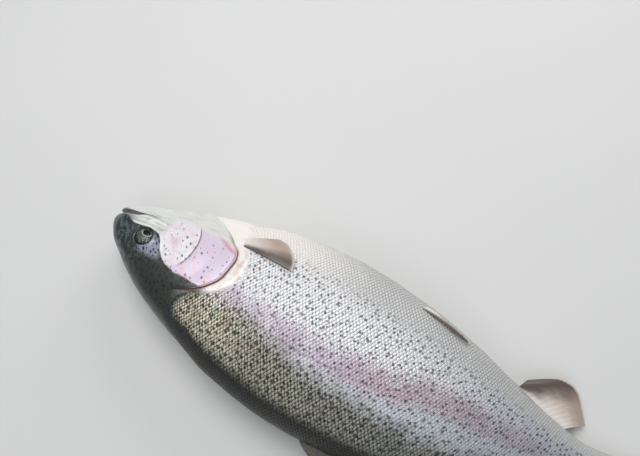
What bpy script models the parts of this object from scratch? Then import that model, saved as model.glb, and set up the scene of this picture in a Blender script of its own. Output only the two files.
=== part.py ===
"""Rainbow trout at life size, lying on its left flank on a floor at z = 0.

The fish is first modelled straight: x runs from the snout (0) to the tail, the back is towards -y and
the right side is towards +z. It is then posed: its axis sags until cheek, flank and tail fin rest on
the floor, and its left side is pressed flat where it touches. The head points to -x, the belly to +y.
Metres throughout.
"""

import math

import bmesh
import bpy
import numpy as np
from mathutils import Vector

# Length along the axis from the snout, height of the back above the axis, depth of the belly below it
# and half width of the body, at the places where the outline of a trout changes.
STATIONS = (
    (0.000, 0.0090, 0.0085, 0.0100),  # snout
    (0.035, 0.0315, 0.0295, 0.0205),  # eye
    (0.058, 0.0432, 0.0410, 0.0250),  # cheek
    (0.085, 0.0530, 0.0505, 0.0285),  # nape
    (0.112, 0.0612, 0.0590, 0.0310),  # rear edge of the gill cover
    (0.141, 0.0690, 0.0675, 0.0328),  # shoulder
    (0.200, 0.0748, 0.0710, 0.0340),  # deepest section
    (0.258, 0.0718, 0.0662, 0.0326),  # pelvic fins
    (0.305, 0.0618, 0.0570, 0.0284),  # behind the dorsal fin
    (0.352, 0.0470, 0.0430, 0.0214),  # vent
    (0.390, 0.0346, 0.0310, 0.0150),  # adipose fin
    (0.425, 0.0269, 0.0238, 0.0108),  # narrowest part of the tail
    (0.470, 0.0286, 0.0255, 0.0070),  # end of the flesh
    (0.484, 0.0300, 0.0270, 0.0024),  # base of the tail fin
)
BODY_END = 0.484
NOSE_LENGTH = 0.014
SECTION_POWER = 2.15

# The head ends in a curve behind the gill covers, which runs forward above and below.
SHOULDER = (0.1040, 0.0140, 0.0280)
HEAD_HALF_DEPTH = 0.055
TRUNK_START = 0.070
HEAD_REACH = 0.116
TRUNK_END = 0.372
CUT = 0.0003
RING_POINTS = 40
OUTSIDE = 0.080

# Pose: height of the axis above the floor along the fish, swing of the tail fin towards the belly, and
# roll of the head that lifts its back, which fades out along the trunk.
AXIS_HEIGHTS = (
    (0.000, 0.0305),
    (0.110, 0.0314),
    (0.200, 0.0336),
    (0.258, 0.0321),
    (0.305, 0.0283),
    (0.352, 0.0215),
    (0.425, 0.0118),
    (0.470, 0.0084),
    (0.530, 0.0007),
    (0.560, 0.0000),
)
TAIL_SWING = 0.026
HEAD_ROLL = math.radians(11.0)
ROLL_FADES = (0.070, 0.235)

EYE_CENTRE = (0.0380, 0.0068)
EYE_RADIUS = 0.0080
EYE_THICKNESS = 0.0036
EYE_SINK = 0.0015

MOUTH_TIP_HEIGHT = -0.0030
MOUTH_CORNER = (0.0500, -0.0130)
JAW_HINGE = (0.0520, -0.0190)
JAW_OPENING = math.radians(5.5)
JAW_REAR_AT_THROAT = (0.0400, -0.0600)
MAXILLA = (0.0080, 0.0465, 0.0026, 0.0070)
MAXILLA_DEPTH = 0.0030

# Side outlines as ellipses: centre along the fish and above its axis, and the two radii.
GILL_COVER = (0.0775, -0.0060, 0.0345, 0.0330)
CHEEK = (0.0440, -0.0030, 0.0335, 0.0400)
GILL_COVER_DEPTH = 0.0040

FIN_THICKNESS = 0.0012
FIN_EDGE = 0.0007
# Start and end of the base, lean of the first and the last ray, ray lengths along the base, sag.
DORSAL_FIN = (
    0.222,
    0.286,
    math.radians(24),
    math.radians(15),
    ((0.0, 0.014), (0.15, 0.044), (0.3, 0.052), (0.65, 0.042), (1.0, 0.030)),
    0.0015,
)
ANAL_FIN = (
    0.357,
    0.402,
    math.radians(48),
    math.radians(26),
    ((0.0, 0.012), (0.2, 0.036), (0.35, 0.040), (0.7, 0.031), (1.0, 0.021)),
    0.0050,
)
# Leading and trailing root, leading and trailing tip, bulge of the margin, lift of the tip.
PECTORAL_FIN = (
    (0.1085, -0.0250),
    (0.1070, -0.0330),
    (0.1600, -0.0270),
    (0.1380, -0.0500),
    0.0050,
    0.0015,
)
PECTORAL_FIN_LEFT = (
    (0.1085, -0.0260),
    (0.1070, -0.0340),
    (0.1540, -0.0480),
    (0.1300, -0.0530),
    0.0040,
    0.0,
)
PELVIC_FIN = (
    (0.2540, -0.0580),
    (0.2600, -0.0610),
    (0.3030, -0.0470),
    (0.2880, -0.0530),
    0.0040,
    0.0010,
)
ADIPOSE_START = 0.388
ADIPOSE_BASE = 0.010
ADIPOSE_REACH = 0.013
ADIPOSE_HEIGHT = 0.011
ADIPOSE_THICKNESS = 0.0030
FORK_X = 0.523
TAIL_TIP_X = 0.550
CAUDAL_ROOT_HEIGHT = 0.0285
CAUDAL_SPREAD = 0.0500
CAUDAL_ROOT_THICKNESS = 0.0034

ROOM_GROWTH = 0.0005
MERGE = 0.00002
FLAT_ANGLE = math.radians(0.05)

OLIVE = (0.13, 0.14, 0.07)
SILVER = (0.62, 0.62, 0.60)
PINK = (0.55, 0.38, 0.42)
CREAM = (0.78, 0.76, 0.68)
DARK_IRIS = (0.05, 0.05, 0.04)
FIN_OLIVE = (0.20, 0.20, 0.14)
FIN_BEIGE = (0.42, 0.36, 0.29)


def monotone(rows, column):
    """A smooth curve through one column of the rows that never overshoots between them."""
    xs = np.array([row[0] for row in rows])
    ys = np.array([row[column] for row in rows])
    steps = np.diff(xs)
    slopes = np.diff(ys) / steps
    tangents = np.concatenate([slopes[:1], np.zeros(len(xs) - 2), slopes[-1:]])
    for i in range(1, len(xs) - 1):
        if slopes[i - 1] * slopes[i] > 0:
            tangents[i] = 2 * slopes[i - 1] * slopes[i] / (slopes[i - 1] + slopes[i])

    def curve(x):
        x = np.clip(x, xs[0], xs[-1])
        i = np.clip(np.searchsorted(xs, x) - 1, 0, len(steps) - 1)
        t = (x - xs[i]) / steps[i]
        start = (1 + 2 * t) * (1 - t) ** 2 * ys[i] + t * (1 - t) ** 2 * steps[i] * tangents[i]
        end = t * t * (3 - 2 * t) * ys[i + 1] + t * t * (t - 1) * steps[i] * tangents[i + 1]
        return start + end

    return curve


back_height = monotone(STATIONS, 1)
belly_depth = monotone(STATIONS, 2)
half_width = monotone(STATIONS, 3)
axis_height = monotone(AXIS_HEIGHTS, 1)


def nose(x):
    """Closes the body at the snout with a rounded end."""
    t = np.clip(x / NOSE_LENGTH, 0, 1)
    return np.sqrt(1 - (1 - t) ** 2)


def section_point(x, angle, inset=0.0):
    """A point of the body's surface: the angle is 0 on the back, pi on the belly, positive at right."""
    along, across = math.cos(angle), math.sin(angle)
    height = (back_height(x) if along > 0 else belly_depth(x)) * nose(x) - inset
    width = half_width(x) * nose(x) - inset
    power = 2 / SECTION_POWER
    y = -math.copysign(abs(along) ** power, along) * height
    z = math.copysign(abs(across) ** power, across) * width
    return np.array((x, y, z))


def section_angle(x, height):
    """The angle at which the right side of the section reaches a height above the axis."""
    limit = (back_height(x) if height > 0 else belly_depth(x)) * nose(x)
    along = min(1.0, abs(height / limit)) ** (SECTION_POWER / 2)
    return math.acos(math.copysign(along, height))


def off_skin(x, height, side, offset):
    """A point at an offset out of the surface, from its place along the fish and above the axis."""
    angle = side * section_angle(x, height)
    step = 0.001
    forward = section_point(x + step, angle) - section_point(x - step, angle)
    around = section_point(x, angle + step) - section_point(x, angle - step)
    normal = np.cross(around, forward)
    normal /= np.linalg.norm(normal)
    point = section_point(x, angle)
    return point + offset * math.copysign(1.0, normal @ (0, point[1], point[2])) * normal


def axis_point(x):
    return Vector((x, TAIL_SWING * (x / BODY_END) ** 3, float(axis_height(x))))


def posed(point):
    """Bends the straight fish, its sections square to the axis, and presses its left side on the floor."""
    x, y, z = point
    step = 0.0005
    tangent = (axis_point(x + step) - axis_point(x - step)).normalized()
    fade = np.clip((x - ROLL_FADES[0]) / (ROLL_FADES[1] - ROLL_FADES[0]), 0, 1)
    roll = HEAD_ROLL * float(1 - fade * fade * (3 - 2 * fade))
    belly = Vector((0, 0, 1)).cross(tangent).normalized()
    upward = tangent.cross(belly)
    sideways = belly * math.cos(roll) - upward * math.sin(roll)
    outward = upward * math.cos(roll) + belly * math.sin(roll)
    place = axis_point(x) + sideways * y + outward * z
    if place.z < 0:
        place -= outward * (place.z / outward.z)
    return place


def material(name, colour, roughness, metallic=0.0):
    made = bpy.data.materials.new(name)
    made.use_nodes = True
    shader = made.node_tree.nodes["Principled BSDF"]
    shader.inputs["Base Color"].default_value = (*colour, 1.0)
    shader.inputs["Roughness"].default_value = roughness
    shader.inputs["Metallic"].default_value = metallic
    made.diffuse_color = (*colour, 1.0)
    return made


def new_object(name, shape, surface=None):
    """Makes an object from a bmesh, with its faces turned outwards."""
    bmesh.ops.recalc_face_normals(shape, faces=shape.faces)
    mesh = bpy.data.meshes.new(name)
    shape.to_mesh(mesh)
    shape.free()
    if surface:
        mesh.materials.append(surface)
    made = bpy.data.objects.new(name, mesh)
    bpy.context.collection.objects.link(made)
    return made


def as_cutter(made):
    made.hide_render = True
    made.display_type = "WIRE"
    return made


def body_length(name, stations, surface=None, inset=0.0):
    """A length of the body: rings at the stations, closed by flat ends, or by the snout at station 0."""
    shape = bmesh.new()
    rings = []
    for x in stations:
        if x == 0:
            rings.append([shape.verts.new((0, 0, 0))])
            continue
        angles = [2 * math.pi * i / RING_POINTS for i in range(RING_POINTS)]
        rings.append([shape.verts.new(section_point(x, angle, inset)) for angle in angles])
    for before, after in zip(rings, rings[1:]):
        for i in range(RING_POINTS):
            j = (i + 1) % RING_POINTS
            if len(before) == 1:
                shape.faces.new((before[0], after[i], after[j]))
            else:
                shape.faces.new((before[i], before[j], after[j], after[i]))
    if len(rings[0]) > 1:
        shape.faces.new(rings[0])
    shape.faces.new(rings[-1])
    return new_object(name, shape, surface)


def spaced(start, end, steps, crowding=1.0):
    return [start + (end - start) * (i / steps) ** crowding for i in range(steps + 1)]


def prism(name, outline, z_low=-OUTSIDE, z_high=OUTSIDE):
    """A cutter: an outline in (x, height above the axis), drawn out across the fish."""
    shape = bmesh.new()
    low = [shape.verts.new((x, -height, z_low)) for x, height in outline]
    high = [shape.verts.new((x, -height, z_high)) for x, height in outline]
    shape.faces.new(low)
    shape.faces.new(high)
    for i in range(len(outline)):
        j = (i + 1) % len(outline)
        shape.faces.new((low[i], low[j], high[j], high[i]))
    return as_cutter(new_object(name, shape))


def boolean(target, operation, cutter):
    modifier = target.modifiers.new(operation.title(), "BOOLEAN")
    modifier.operation = operation
    modifier.object = cutter


def copy_of(source, name, surface):
    made = bpy.data.objects.new(name, source.data.copy())
    made.data.materials.clear()
    made.data.materials.append(surface)
    bpy.context.collection.objects.link(made)
    return made


def settle(made):
    """Applies an object's modifiers and joins the points that a cut left very close together."""
    bpy.context.view_layer.update()
    graph = bpy.context.evaluated_depsgraph_get()
    mesh = bpy.data.meshes.new_from_object(made.evaluated_get(graph))
    made.modifiers.clear()
    made.data = mesh
    shape = bmesh.new()
    shape.from_mesh(mesh)
    bmesh.ops.remove_doubles(shape, verts=shape.verts, dist=MERGE)
    bmesh.ops.dissolve_degenerate(shape, edges=shape.edges, dist=MERGE)
    bmesh.ops.dissolve_limit(
        shape, angle_limit=FLAT_ANGLE, verts=shape.verts, edges=shape.edges, delimit={"MATERIAL"}
    )
    bmesh.ops.triangulate(shape, faces=shape.faces)
    shape.to_mesh(mesh)
    shape.free()


def lay_down(made):
    for vert in made.data.vertices:
        vert.co = posed(made.matrix_world @ vert.co)
    made.matrix_world.identity()


def ellipse_point(ellipse, grow, angle):
    x, height, along, up = ellipse
    return (x + (along + grow) * math.cos(angle), height + (up + grow) * math.sin(angle))


def in_cheek(point, grow):
    x, height, along, up = CHEEK
    return math.hypot((point[0] - x) / (along - grow), (point[1] - height) / (up - grow)) < 1


def gill_cover_outline(grow):
    """The ellipse of the gill cover less that of the cheek in front of it: a crescent."""
    tips = []
    for sign in (-1, 1):
        kept, cut = 0.0, math.pi
        for _ in range(30):
            middle = (kept + cut) / 2
            if in_cheek(ellipse_point(GILL_COVER, grow, sign * middle), grow):
                cut = middle
            else:
                kept = middle
        tips.append(sign * kept)
    rear = [ellipse_point(GILL_COVER, grow, a) for a in np.linspace(*tips, 25)]
    x, height, along, up = CHEEK
    ends = [
        math.atan2((point[1] - height) / (up - grow), (point[0] - x) / (along - grow))
        for point in (rear[-1], rear[0])
    ]
    front = [ellipse_point(CHEEK, -grow, a) for a in np.linspace(*ends, 15)]
    return rear + front[1:-1]


def mouth_line(x):
    return MOUTH_TIP_HEIGHT + (MOUTH_CORNER[1] - MOUTH_TIP_HEIGHT) * x / MOUTH_CORNER[0]


def turned_about_hinge(point, angle):
    x, height = point[0] - JAW_HINGE[0], point[1] - JAW_HINGE[1]
    turned_x = x * math.cos(angle) - height * math.sin(angle)
    turned_height = x * math.sin(angle) + height * math.cos(angle)
    return (JAW_HINGE[0] + turned_x, JAW_HINGE[1] + turned_height)


def jaw_outline(grow, turn):
    """Side outline of the lower jaw, closed in front and below by lines outside the body.

    The jaw itself is cut with its rear edge turned back, so that it meets the throat when it opens.
    """
    corner = (MOUTH_CORNER[0] + grow, mouth_line(MOUTH_CORNER[0]) + grow)
    hinge = (JAW_HINGE[0] + grow, JAW_HINGE[1])
    throat = turned_about_hinge((JAW_REAR_AT_THROAT[0] + grow, JAW_REAR_AT_THROAT[1]), turn)
    front = -0.020
    return [(front, mouth_line(front) + grow), corner, hinge, throat, (front, throat[1])]


def maxilla_outline(grow):
    """Side outline of an upper jaw plate, a narrow paddle that widens to a round end under the eye."""
    front, rear, front_height, rear_height = MAXILLA
    steps = 8
    lower = [(front - grow + (rear - front) * i / steps, CUT - grow) for i in range(steps + 1)]
    widening = rear_height - front_height
    upper = [
        (front - grow + (rear - front) * i / steps, grow + front_height + widening * i / steps)
        for i in range(steps, -1, -1)
    ]
    radius = (rear_height - CUT) / 2 + grow
    middle = (rear_height + CUT) / 2
    angles = [math.pi * (i / 8 - 0.5) for i in range(1, 8)]
    end = [(rear - grow + radius * math.cos(a), middle + radius * math.sin(a)) for a in angles]
    return [(x, mouth_line(x) + rise) for x, rise in lower + end + upper]


def shoulder_outline(shift, end):
    """The side region behind the head's end (end > 0) or in front of it (end < 0)."""
    middle, above, below = SHOULDER
    line = []
    for i in range(17):
        share = i / 8 - 1
        sweep = (above if share > 0 else below) * share * share
        line.append((middle + shift - sweep, share * HEAD_HALF_DEPTH * 1.3))
    return line + [(end, line[-1][1]), (end, line[0][1])]


def ellipsoid(name, centre, radii, surface=None):
    shape = bmesh.new()
    bmesh.ops.create_uvsphere(shape, u_segments=16, v_segments=10, radius=1.0)
    for vert in shape.verts:
        vert.co = [c + r * p for c, r, p in zip(centre, radii, vert.co)]
    return new_object(name, shape, surface)


def eye(name, side, grow, surface=None):
    """A flattened ball set a little under the skin, so that only its low dome shows."""
    x, height = EYE_CENTRE
    z = side * (off_skin(x, height, 1, 0.0)[2] - EYE_SINK)
    radius = EYE_RADIUS + grow
    return ellipsoid(name, (x, -height, z), (radius, radius, EYE_THICKNESS + grow), surface)


def skin_plate(name, whole, outline, side, inner, surface):
    """A plate of the body's surface inside an outline, down to an inner surface."""
    made = copy_of(whole, name, surface)
    boolean(made, "INTERSECT", prism(name + "_outline", outline, *sorted((0.0, side * OUTSIDE))))
    boolean(made, "DIFFERENCE", inner)
    settle(made)
    return made


def pocket(name, outline, inner):
    """The cutter that makes room for the plates of both sides."""
    made = prism(name, outline)
    boolean(made, "DIFFERENCE", inner)
    return made


def inner_body(name, inset):
    return as_cutter(body_length(name, spaced(0.004, 0.130, 12), inset=inset))


def make_head_and_trunk():
    """The front of the body, parted by thin cuts into head, jaws, gill covers and trunk."""
    head_skin = material("head_skin", OLIVE, 0.35)
    cheek_skin = material("cheek_skin", PINK, 0.30)
    jaw_skin = material("jaw_skin", CREAM, 0.35)
    flank_skin = material("flank_skin", SILVER, 0.28)
    eye_surface = material("eye_surface", DARK_IRIS, 0.08)
    front = spaced(0.0, 0.012, 5, 1.6) + spaced(0.018, HEAD_REACH, 16)
    head = body_length("head", front, head_skin)
    whole = as_cutter(body_length("whole_front", front[:-1] + spaced(HEAD_REACH, 0.130, 2)))
    trunk = body_length("trunk", spaced(TRUNK_START, TRUNK_END, 24), flank_skin)
    gill_inner = inner_body("gill_inner", GILL_COVER_DEPTH)
    gill_pocket = pocket(
        "gill_pocket", gill_cover_outline(CUT), inner_body("gill_floor", GILL_COVER_DEPTH + CUT)
    )
    maxilla_inner = inner_body("maxilla_inner", MAXILLA_DEPTH)
    maxilla_pocket = pocket(
        "maxilla_pocket", maxilla_outline(CUT), inner_body("maxilla_floor", MAXILLA_DEPTH + CUT)
    )
    made = [head, trunk]
    for side, word in ((1, "right"), (-1, "left")):
        cover = skin_plate(
            "gill_cover_" + word, whole, gill_cover_outline(0.0), side, gill_inner, cheek_skin
        )
        lip = skin_plate(
            "maxilla_" + word, whole, maxilla_outline(0.0), side, maxilla_inner, cheek_skin
        )
        made += [cover, lip, eye("eye_" + word, side, 0.0, eye_surface)]
        boolean(head, "DIFFERENCE", as_cutter(eye("socket_" + word, side, CUT)))
    boolean(head, "DIFFERENCE", prism("behind_head", shoulder_outline(-CUT / 2, 0.200)))
    boolean(head, "DIFFERENCE", prism("jaw_room", jaw_outline(CUT, 0.0)))
    boolean(head, "DIFFERENCE", maxilla_pocket)
    boolean(head, "DIFFERENCE", gill_pocket)
    boolean(trunk, "DIFFERENCE", prism("before_trunk", shoulder_outline(CUT / 2, 0.0)))
    boolean(trunk, "DIFFERENCE", gill_pocket)
    jaw = copy_of(whole, "lower_jaw", jaw_skin)
    boolean(jaw, "INTERSECT", prism("jaw_outline", jaw_outline(0.0, -JAW_OPENING)))
    for solid in (head, trunk, jaw):
        settle(solid)
    open_jaw(jaw)
    return made + [jaw]


def open_jaw(jaw):
    """Sets the jaw's origin on its hinge and turns it open."""
    hinge = (JAW_HINGE[0], -JAW_HINGE[1], 0.0)
    for vert in jaw.data.vertices:
        vert.co = [value - start for value, start in zip(vert.co, hinge)]
    jaw.location = hinge
    jaw.rotation_euler.z = -JAW_OPENING
    bpy.context.view_layer.update()


def plate(name, centre, thickness, columns, rows, surface):
    """A fin: a grid of points centre(a, b) given a thickness, its tip and its side edges closed."""
    grid = np.empty((columns + 1, rows + 1, 3))
    for i in range(columns + 1):
        for j in range(rows + 1):
            point = posed(centre(i / columns, j / rows))
            grid[i, j] = (*point[:2], max(point[2], thickness(j / rows) / 2))
    along, outward = np.gradient(grid, axis=(0, 1))
    normals = np.cross(along, outward)
    normals /= np.linalg.norm(normals, axis=2, keepdims=True)
    shape = bmesh.new()
    sides = []
    for sign in (1, -1):
        points = [
            [grid[i, j] + sign * thickness(j / rows) / 2 * normals[i, j] for j in range(rows + 1)]
            for i in range(columns + 1)
        ]
        sides.append([[shape.verts.new((x, y, max(z, 0.0))) for x, y, z in row] for row in points])
    upper, lower = sides
    for i in range(columns):
        for j in range(rows):
            for skin in sides:
                shape.faces.new((skin[i][j], skin[i + 1][j], skin[i + 1][j + 1], skin[i][j + 1]))
        for j in (0, rows):
            shape.faces.new((upper[i][j], upper[i + 1][j], lower[i + 1][j], lower[i][j]))
    for j in range(rows):
        for i in (0, columns):
            shape.faces.new((upper[i][j], upper[i][j + 1], lower[i][j + 1], lower[i][j]))
    return new_object(name, shape, surface)


def fin_thickness(root):
    return lambda b: root + (FIN_EDGE - root) * b


def ridge_fin(name, fin, side, columns, rows, surface):
    """A fin on the ridge of the back (side 1) or belly (side -1), its rays leaning backwards."""
    start, end, lean, lean_end, lengths, sag = fin
    ridge = back_height if side > 0 else belly_depth
    ray_length = monotone(lengths, 1)

    def centre(a, b):
        x = start + (end - start) * a
        angle = lean + (lean_end - lean) * a
        reach = ray_length(a) * b
        height = ridge(x) + 2 * CUT + reach * math.sin(angle)
        return (x + reach * math.cos(angle), -side * height, -sag * b * b)

    return plate(name, centre, fin_thickness(FIN_THICKNESS), columns, rows, surface)


def paired_fin(name, fin, side, surface):
    """A fin folded back along the body, fanned out between its leading and its trailing ray."""
    leading_root, trailing_root, leading_tip, trailing_tip, bulge, lift = fin

    def centre(a, b):
        root = np.array(leading_root) * (1 - a) + np.array(trailing_root) * a
        tip = np.array(leading_tip) * (1 - a) + np.array(trailing_tip) * a
        tip[0] += bulge * math.sin(math.pi * a)
        x, height = root + (tip - root) * b
        return off_skin(x, height, side, 2 * CUT + FIN_THICKNESS / 2 + lift * b)

    return plate(name, centre, fin_thickness(FIN_THICKNESS), 7, 6, surface)


def caudal_fin(surface):
    """The forked tail fin, spread to both sides of the axis."""

    def centre(a, b):
        spread = 2 * a - 1
        corner = max(0.0, abs(spread) - 0.85) / 0.15
        tip_x = FORK_X + (TAIL_TIP_X - FORK_X) * abs(spread) ** 1.6 - 0.005 * corner ** 2
        root = CAUDAL_ROOT_HEIGHT * spread
        tip = CAUDAL_SPREAD * spread
        x = BODY_END + CUT + (tip_x - BODY_END) * b
        bulge = 0.0015 * math.sin(math.pi * b) * spread
        return (x, -(root + (tip - root) * b + bulge), 0.0)

    return plate("caudal_fin", centre, fin_thickness(CAUDAL_ROOT_THICKNESS), 20, 7, surface)


def adipose_fin(surface):
    """A small fleshy lobe without rays."""

    def centre(a, b):
        root = ADIPOSE_START + ADIPOSE_BASE * a
        x = root + ADIPOSE_REACH * b * (0.25 + 0.75 * a ** 0.7)
        rise = ADIPOSE_HEIGHT * b * math.sin(math.pi * (0.10 + 0.45 * a))
        return (x, -(back_height(root) + 2 * CUT + rise), 0.0)

    return plate("adipose_fin", centre, fin_thickness(ADIPOSE_THICKNESS), 6, 4, surface)


def make_fins():
    olive = material("fin_olive", FIN_OLIVE, 0.40)
    beige = material("fin_beige", FIN_BEIGE, 0.40)
    return [
        ridge_fin("dorsal_fin", DORSAL_FIN, 1, 12, 4, olive),
        ridge_fin("anal_fin", ANAL_FIN, -1, 10, 4, beige),
        adipose_fin(olive),
        caudal_fin(olive),
        paired_fin("pectoral_fin_right", PECTORAL_FIN, 1, beige),
        paired_fin("pectoral_fin_left", PECTORAL_FIN_LEFT, -1, beige),
        paired_fin("pelvic_fin_right", PELVIC_FIN, 1, beige),
        paired_fin("pelvic_fin_left", PELVIC_FIN, -1, beige),
    ]


def make_room_for_fin(solids):
    """Presses the left pectoral fin, which lies under the fish, into the flank above it."""
    named = {solid.name: solid for solid in solids}
    fin = named["pectoral_fin_left"]
    room = copy_of(fin, "fin_room", fin.data.materials[0])
    for vert in room.data.vertices:
        vert.co = vert.co + ROOM_GROWTH * vert.normal
    trunk = named["trunk"]
    boolean(trunk, "DIFFERENCE", as_cutter(room))
    settle(trunk)


def centre_on_floor(solids):
    """Moves the fish so that the middle of its box is over the origin."""
    corners = [vert.co for solid in solids for vert in solid.data.vertices]
    middle = [(min(c[i] for c in corners) + max(c[i] for c in corners)) / 2 for i in (0, 1)]
    for solid in solids:
        for vert in solid.data.vertices:
            vert.co = (vert.co[0] - middle[0], vert.co[1] - middle[1], vert.co[2])


def main():
    for existing in list(bpy.data.objects):
        bpy.data.objects.remove(existing)
    body = make_head_and_trunk()
    tail_skin = material("tail_skin", SILVER, 0.28)
    body.append(body_length("tail", spaced(TRUNK_END + CUT, BODY_END, 9), tail_skin))
    for solid in body:
        lay_down(solid)
    solids = body + make_fins()
    make_room_for_fin(solids)
    for cutter in [other for other in bpy.data.objects if other.hide_render]:
        bpy.data.objects.remove(cutter)
    centre_on_floor(solids)
    for solid in solids:
        solid.data.shade_smooth()
        solid.data.set_sharp_from_angle(angle=math.radians(35))


main()
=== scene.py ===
"""A rainbow trout lying on its left flank: its skin, scales, fins and eyes, with the light and the camera.

Every surface is first worked out on the straight fish, where x runs from the snout to the tail, the back
is towards -y and the right side towards +z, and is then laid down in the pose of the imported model.
A place on the skin is given by x and by an angle round the body, 0 on the back and pi on the belly,
positive on the right side and negative on the left. Metres throughout.
"""

import math

import bmesh
import bpy
import numpy as np
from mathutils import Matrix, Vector


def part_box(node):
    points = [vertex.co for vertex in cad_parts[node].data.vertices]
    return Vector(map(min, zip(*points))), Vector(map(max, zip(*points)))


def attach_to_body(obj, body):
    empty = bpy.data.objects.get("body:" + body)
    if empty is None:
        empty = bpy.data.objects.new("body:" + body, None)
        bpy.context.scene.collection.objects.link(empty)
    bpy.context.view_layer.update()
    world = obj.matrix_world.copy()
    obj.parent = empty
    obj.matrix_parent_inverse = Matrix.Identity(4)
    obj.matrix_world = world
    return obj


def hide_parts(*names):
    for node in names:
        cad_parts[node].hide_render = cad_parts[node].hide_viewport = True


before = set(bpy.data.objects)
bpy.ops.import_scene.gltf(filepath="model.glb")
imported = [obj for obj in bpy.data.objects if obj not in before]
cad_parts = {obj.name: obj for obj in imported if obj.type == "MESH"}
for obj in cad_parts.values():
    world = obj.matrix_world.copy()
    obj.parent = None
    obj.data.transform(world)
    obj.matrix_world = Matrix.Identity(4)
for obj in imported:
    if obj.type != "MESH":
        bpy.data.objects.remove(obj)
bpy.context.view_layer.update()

MM = 0.001

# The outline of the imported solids: place along the fish, back height, belly depth, half width.
STATIONS = (
    (0.000, 0.0090, 0.0085, 0.0100),  # snout
    (0.035, 0.0315, 0.0295, 0.0205),  # eye
    (0.058, 0.0432, 0.0410, 0.0250),  # cheek
    (0.085, 0.0530, 0.0505, 0.0285),  # nape
    (0.112, 0.0612, 0.0590, 0.0310),  # rear edge of the gill cover
    (0.141, 0.0690, 0.0675, 0.0328),  # shoulder
    (0.200, 0.0748, 0.0710, 0.0340),  # deepest section
    (0.258, 0.0718, 0.0662, 0.0326),  # pelvic fins
    (0.305, 0.0618, 0.0570, 0.0284),  # behind the dorsal fin
    (0.352, 0.0470, 0.0430, 0.0214),  # vent
    (0.390, 0.0346, 0.0310, 0.0150),  # adipose fin
    (0.425, 0.0269, 0.0238, 0.0108),  # narrowest part of the tail
    (0.470, 0.0286, 0.0255, 0.0070),  # end of the flesh
    (0.484, 0.0300, 0.0270, 0.0024),  # base of the tail fin
)
BODY_END = STATIONS[-1][0]
NOSE_LENGTH = 0.014
SECTION_POWER = 2.15
# Place along the fish and height of its axis over the floor.
AXIS_HEIGHTS = (
    (0.000, 0.0305),
    (0.110, 0.0314),
    (0.200, 0.0336),
    (0.258, 0.0321),
    (0.305, 0.0283),
    (0.352, 0.0215),
    (0.425, 0.0118),
    (0.470, 0.0084),
    (0.530, 0.0007),
    (0.560, 0.0000),
)
TAIL_SWING = 0.026
# How far the head is rolled, and where along the fish that starts and stops to fade.
HEAD_ROLL = math.radians(11.0)
ROLL_FADES = (0.070, 0.235)

# Lines that run along the fish, as heights above its axis.
LATERAL_LINE = ((0.095, 0.0245), (0.130, 0.0225), (0.200, 0.0205), (0.290, 0.0125), (0.350, 0.0045),
                (0.430, 0.0008), (0.484, 0.0000))
OLIVE_EDGE = ((0.000, -0.0040), (0.015, -0.0025), (0.025, 0.0000), (0.038, -0.0014), (0.0465, -0.0008),
              (0.051, 0.0014), (0.055, 0.0057), (0.059, 0.0114), (0.067, 0.0180), (0.082, 0.0212),
              (0.112, 0.0205), (0.136, 0.0205), (0.174, 0.0260), (0.207, 0.0320), (0.290, 0.0330),
              (0.352, 0.0240), (0.425, 0.0130), (0.484, 0.0140))
STRIPE_HEIGHT = ((0.100, 0.0140), (0.158, 0.0160), (0.201, 0.0160), (0.232, 0.0130), (0.261, 0.0086),
                 (0.313, 0.0000), (0.400, -0.0010), (0.484, 0.0000))
STRIPE_HALF_WIDTH = ((0.100, 0.0080), (0.200, 0.0130), (0.300, 0.0115), (0.400, 0.0060), (0.484, 0.0050))

# The gill opening and the first scales, as the angle round the body and the place along the fish.
GILL_EDGE = ((0, 0.080), (45, 0.083), (58, 0.0905), (66, 0.0985), (74, 0.1065), (87, 0.1140),
             (98, 0.1148), (106, 0.1120), (113, 0.1040), (121, 0.0965), (129, 0.0885), (150, 0.0740),
             (180, 0.0640))
GILL_OPENS = (52, 64)
FIRST_SCALES = ((0, 0.099), (30, 0.0915), (48, 0.0910), (60, 0.0962), (68, 0.1048), (80, 0.1180),
                (92, 0.1240), (103, 0.1230), (112, 0.1180), (125, 0.1100), (150, 0.1020), (180, 0.0970))
# Rear edge of the bone in front of the gill cover, as height above the axis and place along the fish.
PREOPERCLE = ((-0.0300, 0.0660), (-0.0220, 0.0735), (-0.0147, 0.0786), (-0.0054, 0.0814),
              (0.0028, 0.0817), (0.0093, 0.0807), (0.0144, 0.0786), (0.0190, 0.0750))

# Place, height and radius of the two nostrils of each side.
NOSTRILS = ((0.0205, 0.0098, 0.0011), (0.0240, 0.0108, 0.0009))
EYE_CENTRE = (0.0392, 0.0072)
EYE_RADIUS = 0.0075
EYE_BULGE = 0.0019
# The socket sits higher than the eyeball, so that the skin below covers the ball's rim.
SOCKET_RISE = 0.0006
PUPIL_OFFSET = (-0.0007, -0.0029)
PUPIL_LENGTH = 0.0033
PUPIL_HEIGHT = 0.0022

MOUTH_TIP_HEIGHT = -0.0030
MOUTH_CORNER = (0.0500, -0.0130)
JAW_HINGE = (0.0520, -0.0190)
JAW_OPENING = math.radians(5.5)
JAW_THROAT = (0.0400, -0.0600)

FIN_THICKNESS = 0.0012
FIN_EDGE = 0.0007
# Start and end of the base, lean of the first and the last ray, ray lengths along the base, sag.
DORSAL_FIN = (0.222, 0.286, math.radians(24), math.radians(15),
              ((0.0, 0.014), (0.15, 0.044), (0.3, 0.052), (0.65, 0.042), (1.0, 0.030)), 0.0015)
ANAL_FIN = (0.357, 0.402, math.radians(48), math.radians(26),
            ((0.0, 0.012), (0.2, 0.036), (0.35, 0.040), (0.7, 0.031), (1.0, 0.021)), 0.0050)
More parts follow.
